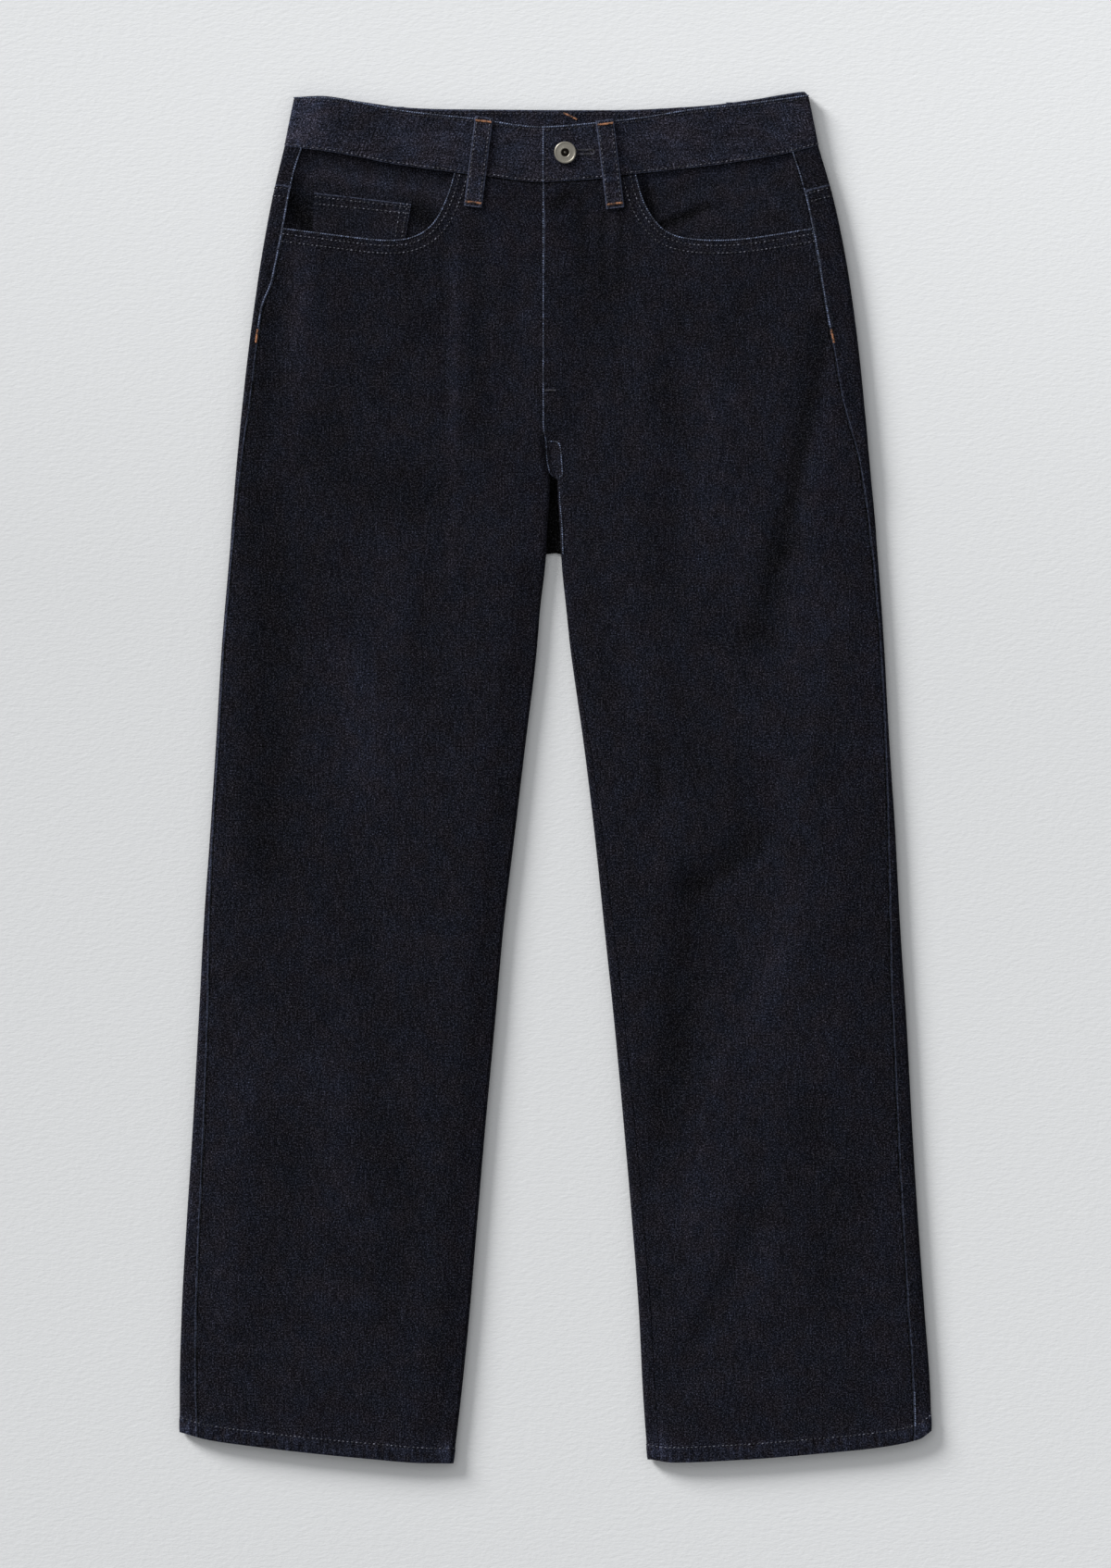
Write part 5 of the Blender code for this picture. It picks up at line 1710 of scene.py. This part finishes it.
def stitch_tree():
    """Stitches at an even pitch along chains of points, lying on the cloth under them."""
    tree, given, out = group(
        "Stitches",
        "GeometryNodeTree",
        [
            ("Chains", "NodeSocketGeometry", None),
            ("Pitch", NUMBER, 0.003),
            ("Length", NUMBER, 0.0024),
            ("Thickness", NUMBER, 0.0006),
            ("Turn", NUMBER, 0.0),
            ("Seed", "NodeSocketInt", 1),
            ("Thread", "NodeSocketMaterial", None),
        ],
        [("Stitches", "NodeSocketGeometry")],
    )
    curve = wire(tree, "GeometryNodeMeshToCurve", {"Mesh": given["Chains"]})
    inputs = {"Curve": curve, "Length": given["Pitch"]}
    points = put(tree, "GeometryNodeCurveToPoints", inputs, mode="LENGTH").outputs
    outward = wire(tree, "GeometryNodeInputNamedAttribute", {"Name": "outward"}, data_type="FLOAT_VECTOR")
    inputs = {"Vector": Wire(tree, points["Tangent"]), "Axis": outward, "Angle": given["Turn"]}
    way = wire(tree, "ShaderNodeVectorRotate", inputs, rotation_type="AXIS_ANGLE")
    inputs = {0: STITCH_LEAST, 1: STITCH_MOST, "Seed": given["Seed"]}
    uneven = wire(tree, "FunctionNodeRandomValue", inputs, data_type="FLOAT_VECTOR")
    inputs = {"X": given["Length"], "Y": given["Thickness"], "Z": given["Thickness"]}
    size = wire(tree, "ShaderNodeCombineXYZ", inputs)
    size = wire(tree, "ShaderNodeVectorMath", {0: size, 1: uneven}, operation="MULTIPLY")
    inputs = {0: outward, 1: way}
    turned = wire(tree, "FunctionNodeAxesToRotation", inputs, primary_axis="Z", secondary_axis="X")
    ball = wire(tree, "GeometryNodeMeshUVSphere", {"Segments": 6, "Rings": 4, "Radius": 0.5})
    inputs = {"Points": Wire(tree, points["Points"]), "Instance": ball, "Rotation": turned, "Scale": size}
    laid = wire(tree, "GeometryNodeInstanceOnPoints", inputs)
    real = wire(tree, "GeometryNodeRealizeInstances", {0: laid})
    wire(tree, "GeometryNodeSetMaterial", {"Geometry": real, "Material": given["Thread"]}).feed(out[0])
    return tree


def sew(name, chains, thread, **sewing):
    """Piece of stitches along chains, each given as its points and the way out of the cloth at them."""
    sizes = bpy.context.scene.jeans_sizes
    tree = bpy.data.node_groups.get("Stitches") or stitch_tree()
    points, outward = (np.concatenate(values) for values in zip(*chains))
    ends = set(np.cumsum([len(chain) for chain, _ in chains]) - 1)
    edges = [(number, number + 1) for number in range(len(points)) if number not in ends]
    mesh = bpy.data.meshes.new(name + "_chains")
    mesh.from_pydata((points * MILLIMETRE).tolist(), edges, [])
    kept = mesh.attributes.new("outward", "FLOAT_VECTOR", "POINT")
    kept.data.foreach_set("vector", outward.astype(np.float32).ravel())
    base = link(name + "_base", mesh)
    modifier = base.modifiers.new("Stitches", "NODES")
    modifier.node_group = tree
    values = {
        "Pitch": sizes.stitch_pitch,
        "Length": sizes.stitch_pitch * STITCH_PART,
        "Thickness": sizes.thread_width,
        "Turn": 0.0,
        "Thread": finish(thread),
        **sewing,
    }
    for socket in tree.interface.items_tree:
        if socket.in_out == "INPUT" and socket.name in values:
            modifier[socket.identifier] = values[socket.name]
    graph = bpy.context.evaluated_depsgraph_get()
    stitches = bpy.data.meshes.new_from_object(base.evaluated_get(graph), depsgraph=graph)
    bpy.data.objects.remove(base, do_unlink=True)
    stitches.name = name
    if "outward" in stitches.attributes:
        stitches.attributes.remove(stitches.attributes["outward"])
    stitches.shade_smooth()
    return seat_piece(link(name, stitches))


def raised(points, outward, rise):
    """Chain of points at a height over the cloth, with the way out of it."""
    return points + outward * rise, outward


def top_chain(leg, x, y, rise):
    """Chain of points on a leg's upper layer, with the way out."""
    x, y = (np.asarray(value, dtype=float) for value in np.broadcast_arrays(x, y))
    return raised(*faced(partial(on_top, leg), x, y, 1.0), rise)


def facing_chain(x, y, height, rise, outward=1.0):
    """Chain of points on cloth that faces straight up or down."""
    points = stack(x, y, height)
    return raised(points, np.tile((0.0, 0.0, outward), (len(points), 1)), rise)


def beside(line, away):
    """Chain moved to the side of its own way, by a distance."""
    line = np.asarray(line)
    ahead = np.gradient(line, axis=0)
    ahead /= np.linalg.norm(ahead, axis=1, keepdims=True)
    return line + np.stack([-ahead[:, 1], ahead[:, 0]], axis=1) * away


def front_chains(leg):
    """Rows on a front: its hem and its pocket mouth."""
    side = leg["side"]
    low_y = leg["hem"][3][1]
    start = side * (inner_edge(leg, low_y) + HEM_ROW_ENDS[0])
    end = side_seam_x(leg, low_y) - side * HEM_ROW_ENDS[1]
    x = np.linspace(start, end, 90)
    chains = [top_chain(leg, x, hem_y(leg, x) + HEM_STITCH, RISE["hem"])]
    scoop = scoop_line(leg)
    for away in MOUTH_ROWS:
        chains.append(top_chain(leg, *beside(scoop, -side * away)[2:-1].T, RISE["mouth"]))
    return chains


def front_rope_chains(leg):
    """Worn edges of a front: its pocket mouth, and on the left the lapped edge and the crotch."""
    side = leg["side"]
    mouth = beside(scoop_line(leg), -side * MOUTH_EDGE)[2:-1]
    chains = [top_chain(leg, *mouth.T, RISE["mouth_edge"])]
    if side > 0.0:
        y = np.linspace(*LAP_EDGE_Y, 90)
        chains.append(top_chain(leg, smooth(FRONT_CENTRE, 1, y) + LAP_EDGE, y, RISE["lap_edge"]))
        base = rounded(FLY_BASE)
        y = np.linspace(base[-1, 1], SADDLE_Y[0], 40)[1:]
        crotch = np.stack([inner_edge(leg, y) + INSEAM_ROW, y], axis=1)
        chains.append(top_chain(leg, *np.concatenate([base, crotch]).T, RISE["crotch"]))
    return chains


def seat_chains(start, end, count):
    """Rows beside the seat seam, on the left side's underside."""
    y = np.linspace(start, end, count)
    return [facing_chain(back_centre_x(y) + away, y, lift(y), RISE["under"], -1.0) for away in SEAM_ROWS]


def back_chains(leg):
    """Rows on a back panel: hem, yoke seam and, on the left, the seat seam."""
    points, outward = back_row(leg, hem_y(leg, back_columns(leg, HEM_GUESS_Y)[0]) + HEM_STITCH)
    chains = [raised(points[1:-1], outward[1:-1], RISE["back_hem"])]
    seam = yoke_seam(back_columns(leg, YOKE_SIDE_Y)[0])
    for away in SEAM_ROWS:
        points, outward = back_row(leg, seam - away)
        chains.append(raised(points[1:], outward[1:], RISE["yoke_seam"]))
    if leg["side"] > 0.0:
        chains += seat_chains(YOKE_CENTRE_Y - 2.0, SEAT_ROWS_END, 60)
    return chains


def hip_chain(leg, start, end, count=50, inward=HIP_ROW, rise=RISE["hip"]):
    """Chain beside the side seam, on the back's strip."""
    y = np.linspace(start, end, count)
    turn = side_seam_turn(leg, y) - inward
    return raised(*faced(partial(over_outer_fold, leg), turn, y, -leg["side"]), rise)


def coin_chains():
    """Double rows under the coin pocket's upper edge and along its inner edge."""
    chains = []
    for away in COIN_ROWS:
        under_top = coin_grid([away / COIN_DEPTH], np.linspace(0.02, 0.985, 40))[0]
        inner = coin_grid(np.linspace(0.02, 0.95, 24), [1.0 - away / COIN_WIDTH])[:, 0]
        for x, y in (under_top.T, inner.T):
            chains.append(facing_chain(x, y, coin_seat(x, y) + DENIM, RISE["coin"]))
    return chains


def back_pocket_chains(leg):
    """Double rows round a patch pocket and under its mouth."""
    lines = []
    for inset in PATCH_ROWS:
        across = inset / (BACK_POCKET["outer"] - BACK_POCKET["inner"])
        low = 1.0 - inset / (BACK_POCKET["top"] - BACK_POCKET["side"])
        down = np.linspace(0.0, low, 40)
        side_in = back_pocket_grid(leg, down, [across])[:, 0]
        lower = back_pocket_grid(leg, [low], np.linspace(across, 1.0 - across, 60))[0]
        side_out = back_pocket_grid(leg, down[::-1], [1.0 - across])[:, 0]
        lines.append(np.concatenate([side_in, lower[1:-1], side_out]))
    for inset in PATCH_MOUTH_ROWS:
        lines.append(back_pocket_grid(leg, [inset / PATCH_DEPTH], np.linspace(0.01, 0.99, 50))[0])
    return [facing_chain(*line.T, 0.0, RISE["under"], -1.0) for line in lines]


def band_row(v, rise):
    """Chain round the waistband at a part of its width."""
    points, outward = band_grid(np.array([v]))
    return raised(points[0, 2:-2], outward[0, 2:-2], rise)


def band_top_chains():
    """Rows under the waistband's upper edge, at its lapped end, and inside its back."""
    points, outward = band_grid(np.linspace(0.07, 0.93, 16))
    lapped = raised(points[:, -4] + (BAND_END_ROW, 0.0, 0.0), outward[:, -4], RISE["band"])
    x = np.linspace(*BAND_INSIDE_ENDS, 110)
    y = smooth(BAND_TOP_BACK, 1, x) - BAND_INSIDE_ROW
    inside = facing_chain(x, y, SEAT_LIFT + BAND_CLOTH, RISE["band_inside"])
    return [band_row(BAND_ROWS[1], RISE["band"]), lapped, inside]


def band_rope_chains():
    """Upper edge of the waistband's front and its lapped end."""
    points, outward = (values[0] for values in band_grid(np.array([0.99])))
    front = points[:, 2] > SEAT_LIFT + BAND_FOLD
    later = np.arange(len(front)) > len(front) // 2
    chains = []
    for keep in (front & ~later & (points[:, 0] < LAP_X), front & later):
        chains.append(raised(points[keep], outward[keep], RISE["band_edge"]))
    points, outward = band_grid(np.linspace(0.02, 0.98, 24))
    chains.append(raised(points[:, -1] + (BAND_END_EDGE, 0.0, 0.0), outward[:, -1], RISE["band_end"]))
    return chains


def loop_chains(leg, top, bottom):
    """Rows along both sides of a front loop."""
    outer = front_loop_grid(leg, top, bottom, np.linspace(*LOOP_ROW_ENDS, 30), LOOP_ROWS)
    out = np.tile(UP, (len(outer), 1))
    return [raised(outer[:, row], out, RISE["loop"]) for row in (0, 1)]


def back_loop_chains(x, reach):
    """Rows along both sides of a back loop."""
    grid = back_loop_grid(x, reach, np.linspace(*LOOP_ROW_ENDS, 30), LOOP_ROWS)
    return [facing_chain(*grid[:, row].T, 0.0, RISE["back_loop"], -1.0) for row in (0, 1)]


def tack(centre, way, length, height):
    """Short chain for a bartack, from the middle, the way it runs and its length."""
    way = np.array(way, dtype=float) / np.linalg.norm(way)
    steps = np.linspace(-0.5, 0.5, 5)[:, None] * length
    return np.array([*centre, height]) + steps * np.array([*way, 0.0]), np.tile(UP, (5, 1))


def end_parts(length):
    """Parts of a loop's length at which its two bartacks lie."""
    return TACK_IN / length, 1.0 - TACK_IN / length


def front_loop_tacks(leg, top, bottom):
    """Bartacks across both ends of a front loop."""
    chains = []
    for part in end_parts(math.dist(top, bottom)):
        line = front_loop_grid(leg, top, bottom, [part], TACK_PLACES)[0]
        line[:, 2] = line[:, 2].max() + RISE["loop_tack"]
        chains.append((line, np.tile(UP, (len(line), 1))))
    return chains


def back_loop_tacks(x, reach):
    """Bartacks across both ends of a back loop."""
    lines = [back_loop_grid(x, reach, [part], TACK_PLACES)[0] for part in end_parts(reach)]
    return [facing_chain(*line.T, 0.0, RISE["back_loop_tack"], -1.0) for line in lines]


def buttonhole_chains():
    """Close stitches round the buttonhole's slot."""
    start, end = (np.array(point) for point in BUTTONHOLE)
    angles = np.linspace(-math.pi / 2, math.pi / 2, 9)
    far = end + HOLE_HALF * np.stack([np.cos(angles), np.sin(angles)], axis=1)
    line = np.array([start - (0.0, HOLE_HALF), *far, start + (0.0, HOLE_HALF)])
    return [facing_chain(*line.T, band_height(start[0], True), RISE["buttonhole"])]


# Button


def turned_piece(name, centre, seat, profile, sides, look):
    """Closed round piece from its profile, as radius and height from the middle underneath to the tip."""
    rings = profile[1:-1]
    angles = 2.0 * math.pi * np.arange(sides) / sides
    vertices = [(*centre, seat + profile[0][1])]
    for radius, height in rings:
        for angle in angles:
            x, y = centre[0] + radius * math.cos(angle), centre[1] + radius * math.sin(angle)
            vertices.append((x, y, seat + height))
    vertices.append((*centre, seat + profile[-1][1]))
    tip = len(vertices) - 1
    last = 1 + (len(rings) - 1) * sides
    faces = []
    for number in range(sides):
        after = (number + 1) % sides
        faces.append((0, 1 + after, 1 + number))
        faces.append((tip, last + number, last + after))
        for low in range(1, last, sides):
            high = low + sides
            faces.append((low + number, low + after, high + after, high + number))
    mesh = new_mesh(name, vertices, faces, finish(look))
    smoothed(mesh, METAL_SHARP)
    return link(name, mesh)


# Pieces and their places


def seat_piece(piece, node=None):
    """Lets a piece ride on the jeans' one body, in place of its node, which it hides."""
    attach(piece, BODY)
    if node:
        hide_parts(node)
    return piece


def build_fronts():
    """Front panels, with their rows and worn edges."""
    for word, leg in LEGS.items():
        node = "front_" + word
        panel = seat_piece(make_front(node + "_cloth", leg), node)
        rows = sew(node + "_stitches", front_chains(leg), "thread", Seed=3)
        rope = sew(node + "_edge", front_rope_chains(leg), "rope", **ROPE)
        "back_" + word + "_cloth"


def build_backs():
    """Back panels and yokes, with their rows and worn edges."""
    for word, leg in LEGS.items():
        left = leg["side"] > 0.0
        node = "back_" + word
        panel = seat_piece(make_back(node + "_cloth", leg), node)
        rows = sew(node + "_stitches", back_chains(leg), "thread", Seed=7)
        seam = [hip_chain(leg, YOKE_SIDE_Y - 3.0, HIP_TACK_Y + 2.0)]
        if left:
            seam.append(hip_chain(leg, LOW_SEAM_FROM, LOW_SEAM_TO))
        rope = sew(node + "_edge", seam, "rope", **ROPE)
        node = "yoke_" + word
        panel = seat_piece(make_yoke(node + "_cloth", leg), node)
        seam = [hip_chain(leg, WAIST_FRONT[0][1] - 2.0, YOKE_SIDE_Y + 1.5)]
        sewn = [sew(node + "_edge", seam, "rope", **ROPE)]
        if left:
            chains = seat_chains(YOKE_CENTRE_Y + 1.5, WAIST_BACK[3][1] - 1.5, 24)
            sewn.append(sew(node + "_stitches", chains, "thread", Seed=9))


def build_pockets():
    """Pocket facings, patch pockets and the coin pocket, with their rows."""
    for word, leg in LEGS.items():
        node = "pocket_facing_" + word
        panel = seat_piece(make_facing(node + "_cloth", leg), node)
        "back_" + word + "_cloth"
        node = "back_pocket_" + word
        panel = seat_piece(make_back_pocket(node + "_cloth", leg), node)
        rows = sew(node + "_stitches", back_pocket_chains(leg), "thread", Seed=11)
    panel = seat_piece(make_coin_pocket("coin_pocket_cloth"), "coin_pocket")
    rows = sew("coin_pocket_stitches", coin_chains(), "thread", Seed=13)


def build_waistband():
    """Waistband, with its rows, worn edges and buttonhole."""
    band = seat_piece(make_waistband("waistband_cloth"), "waistband")
    low_row = [band_row(BAND_ROWS[0], RISE["band"])]
    sewn = [
        sew("waistband_stitches", low_row, "thread", Seed=17),
        sew("waistband_top_stitches", band_top_chains(), "dark_thread", Seed=18),
        sew("waistband_edge", band_rope_chains(), "rope", **ROPE),
        sew("buttonhole_stitches", buttonhole_chains(), "dark_thread", **HOLE),
    ]


def build_loops():
    """Belt loops, with their rows and bartacks."""
    for node, word, *ends in FRONT_LOOPS:
        leg = LEGS[word]
        loop = seat_piece(make_front_loop(node + "_cloth", leg, *ends), node)
        rows = sew(node + "_stitches", loop_chains(leg, *ends), "thread", Seed=23)
        tacks = sew(node + "_bartacks", front_loop_tacks(leg, *ends), "bartack", **TACK)
    for node, x, reach in BACK_LOOPS:
        loop = seat_piece(make_back_loop(node + "_cloth", x, reach), node)
        rows = sew(node + "_stitches", back_loop_chains(x, reach), "thread", Seed=29)
        tacks = sew(node + "_bartacks", back_loop_tacks(x, reach), "bartack", **TACK)


def build_bartacks():
    """Bartacks of the side seams, the fly and the inside of the waistband."""
    hip = (HIP_TACK_Y, HIP_TACK_Y - HIP_TACK_LENGTH, 5, HIP_TACK_ROW, RISE["hip_tack"])
    chains = [hip_chain(leg, *hip) for leg in LEGS.values()]
    chains.append(tack(*BAND_TACK, SEAT_LIFT + BAND_CLOTH + RISE["band_tack"]))
    sew("seam_bartacks", chains, "bartack", **TACK)
    height = float(top_height(LEGS["left"], *np.array(FLY_TACK[0]))) + RISE["fly_tack"]
    sew("fly_bartacks", [tack(*FLY_TACK, height)], "dark_thread", **FLY_THREADS)


def build_button():
    """Waistband button, seated on the lapped end."""
    seat = float(band_height(BUTTON_AT[0], True)) + SEAM_GAP
    button = turned_piece("button_head", BUTTON_AT, seat, BUTTON_TURNED, BUTTON_SIDES, "pewter")
    seat_piece(button, "button")


def build_stage():
    """Pale floor with painted light, brighter towards its top and right, soft light from the upper left, and
    the camera straight above.
    """
    scene = bpy.context.scene
    scene.view_settings.view_transform = "Standard"
    made, tree, shader = new_material("pale_floor", (0.8, 0.8, 0.8), 0.9, Specular_IOR_Level=0.1)
    place = object_place(tree)
    x, y, _ = coordinates(place)
    # painted light: the floor's colour runs brighter towards the top and right, and a little towards the
    # bottom, as a pool of light
    painted_light = ramp(y, 0.0, 0.55, 0.0, 0.8) + x * 0.35
    low = ramp(y, -0.15, -0.6) * 0.04
    blend(painted_light + low, *FLOOR_PAINTED_FALLOFF).feed(shader["Base Color"])
    fibre = noise(scaled(place, (1.0, 2.5, 1.0)), 160.0, 2.0, 0.7)
    bump(fibre, 0.0006, 0.35).feed(shader["Normal"])
    ways = ((-1.0, -1.0), (1.0, -1.0), (1.0, 1.0), (-1.0, 1.0))
    corners = [(FLOOR_HALF * across, FLOOR_HALF * up, FLOOR_Z) for across, up in ways]
    link("floor", new_mesh("floor", corners, [(0, 1, 2, 3)], made))
    world = bpy.data.worlds.new("soft_light")
    world.use_nodes = True
    sky = world.node_tree.nodes["Background"]
    sky.inputs["Color"].default_value = WORLD_COLOUR
    sky.inputs["Strength"].default_value = WORLD_LIGHT
    scene.world = world
    for name, power, spread, heading, height in SUNS:
        light = bpy.data.lights.new(name, "SUN")
        light.energy = power
        light.angle = math.radians(spread)
        link(name, light).rotation_euler = (math.radians(90.0 - height), 0.0, math.radians(heading))
    camera_data = bpy.data.cameras.new("camera")
    camera_data.lens = CAMERA_LENS
    camera_data.sensor_width = CAMERA_SENSOR
    camera_data.clip_end = CAMERA_REACH
    camera = link("camera", camera_data)
    camera.location = CAMERA_AT
    scene.camera = camera


# Sizes and colours that a user would change


class JeansSizes(bpy.types.PropertyGroup):
    """Sizes of the jeans' finer work."""

    stitch_pitch: bpy.props.FloatProperty(
        name="Stitch pitch",
        description="Distance from one stitch to the next",
        default=0.0032,
        min=0.0015,
        max=0.006,
        subtype="DISTANCE",
        unit="LENGTH",
    )
    thread_width: bpy.props.FloatProperty(
        name="Thread width",
        description="Width of a sewing thread",
        default=0.00078,
        min=0.0003,
        max=0.0015,
        subtype="DISTANCE",
        unit="LENGTH",
    )


def colour_setting(label, words, default):
    return bpy.props.FloatVectorProperty(
        name=label, description=words, default=default, size=3, min=0.0, max=1.0, subtype="COLOR"
    )


class JeansColours(bpy.types.PropertyGroup):
    """Colours of the jeans."""

    denim: colour_setting("Denim", "Main cloth of the legs", (0.0067, 0.0066, 0.0099))
    denim_band: colour_setting("Waistband", "Cloth of the waistband and loops", (0.0126, 0.0126, 0.0186))
    denim_facing: colour_setting("Pocket facing", "Cloth inside the front pockets", (0.0074, 0.0074, 0.0109))
    worn_edge: colour_setting("Worn edge", "Cloth rubbed pale along its edges", (0.085, 0.098, 0.150))
    thread: colour_setting("Thread", "Tonal thread of the rows", (0.036, 0.037, 0.047))
    dark_thread: colour_setting("Dark thread", "Thread that sinks into the cloth", (0.013, 0.013, 0.019))
    rope: colour_setting("Rope", "Ridge along worn edges", (0.040, 0.050, 0.080))
    bartack: colour_setting("Bartack", "Rust thread of the bartacks", (0.105, 0.046, 0.0215))
    pewter: colour_setting("Pewter", "Metal of the button", (0.32, 0.30, 0.255))


# Operators, one for each group of pieces


class JEANS_OT_stage(bpy.types.Operator):
    """Make the floor, the light and the camera"""

    bl_idname = "jeans.stage"
    bl_label = "Stage"
    bl_options = {"REGISTER", "UNDO"}

    def execute(self, context):
        build_stage()
        return {"FINISHED"}


class JEANS_OT_backs(bpy.types.Operator):
    """Make the back panels and yokes with their stitches"""

    bl_idname = "jeans.backs"
    bl_label = "Backs and Yokes"
    bl_options = {"REGISTER", "UNDO"}

    def execute(self, context):
        build_backs()
        return {"FINISHED"}


class JEANS_OT_fronts(bpy.types.Operator):
    """Make the front panels with their stitches"""

    bl_idname = "jeans.fronts"
    bl_label = "Fronts"
    bl_options = {"REGISTER", "UNDO"}

    def execute(self, context):
        build_fronts()
        return {"FINISHED"}


class JEANS_OT_pockets(bpy.types.Operator):
    """Make the facings, coin pocket and patch pockets"""

    bl_idname = "jeans.pockets"
    bl_label = "Pockets"
    bl_options = {"REGISTER", "UNDO"}

    def execute(self, context):
        build_pockets()
        return {"FINISHED"}


class JEANS_OT_waistband(bpy.types.Operator):
    """Make the waistband with its rows and buttonhole"""

    bl_idname = "jeans.waistband"
    bl_label = "Waistband"
    bl_options = {"REGISTER", "UNDO"}

    def execute(self, context):
        build_waistband()
        return {"FINISHED"}


class JEANS_OT_loops(bpy.types.Operator):
    """Make the five belt loops with their bartacks"""

    bl_idname = "jeans.loops"
    bl_label = "Belt Loops"
    bl_options = {"REGISTER", "UNDO"}

    def execute(self, context):
        build_loops()
        return {"FINISHED"}


class JEANS_OT_bartacks(bpy.types.Operator):
    """Make the bartacks of the seams and the fly"""

    bl_idname = "jeans.bartacks"
    bl_label = "Bartacks"
    bl_options = {"REGISTER", "UNDO"}

    def execute(self, context):
        build_bartacks()
        return {"FINISHED"}


class JEANS_OT_button(bpy.types.Operator):
    """Make the pewter button"""

    bl_idname = "jeans.button"
    bl_label = "Button"
    bl_options = {"REGISTER", "UNDO"}

    def execute(self, context):
        build_button()
        return {"FINISHED"}


OPERATORS = [
    JEANS_OT_stage,
    JEANS_OT_backs,
    JEANS_OT_fronts,
    JEANS_OT_pockets,
    JEANS_OT_waistband,
    JEANS_OT_loops,
    JEANS_OT_bartacks,
    JEANS_OT_button,
]


class JEANS_PT_panel(bpy.types.Panel):
    """Lists the jeans' settings and pieces."""

    bl_idname = "JEANS_PT_panel"
    bl_label = "Tapered Jeans"
    bl_space_type = "VIEW_3D"
    bl_region_type = "UI"
    bl_category = "Jeans"

    def draw(self, context):
        for holder in (context.scene.jeans_sizes, context.scene.jeans_colours):
            for label in holder.__annotations__:
                self.layout.prop(holder, label)
        for made in OPERATORS:
            self.layout.operator(made.bl_idname)


CLASSES = [JeansSizes, JeansColours, *OPERATORS, JEANS_PT_panel]


def register():
    for made in CLASSES:
        bpy.utils.register_class(made)
    bpy.types.Scene.jeans_sizes = bpy.props.PointerProperty(type=JeansSizes)
    bpy.types.Scene.jeans_colours = bpy.props.PointerProperty(type=JeansColours)


def unregister():
    del bpy.types.Scene.jeans_colours
    del bpy.types.Scene.jeans_sizes
    for made in reversed(CLASSES):
        bpy.utils.unregister_class(made)


def main():
    register()
    for made in OPERATORS:
        group_name, name = made.bl_idname.split(".")
        getattr(getattr(bpy.ops, group_name), name)()


if __name__ == "__main__":
    main()
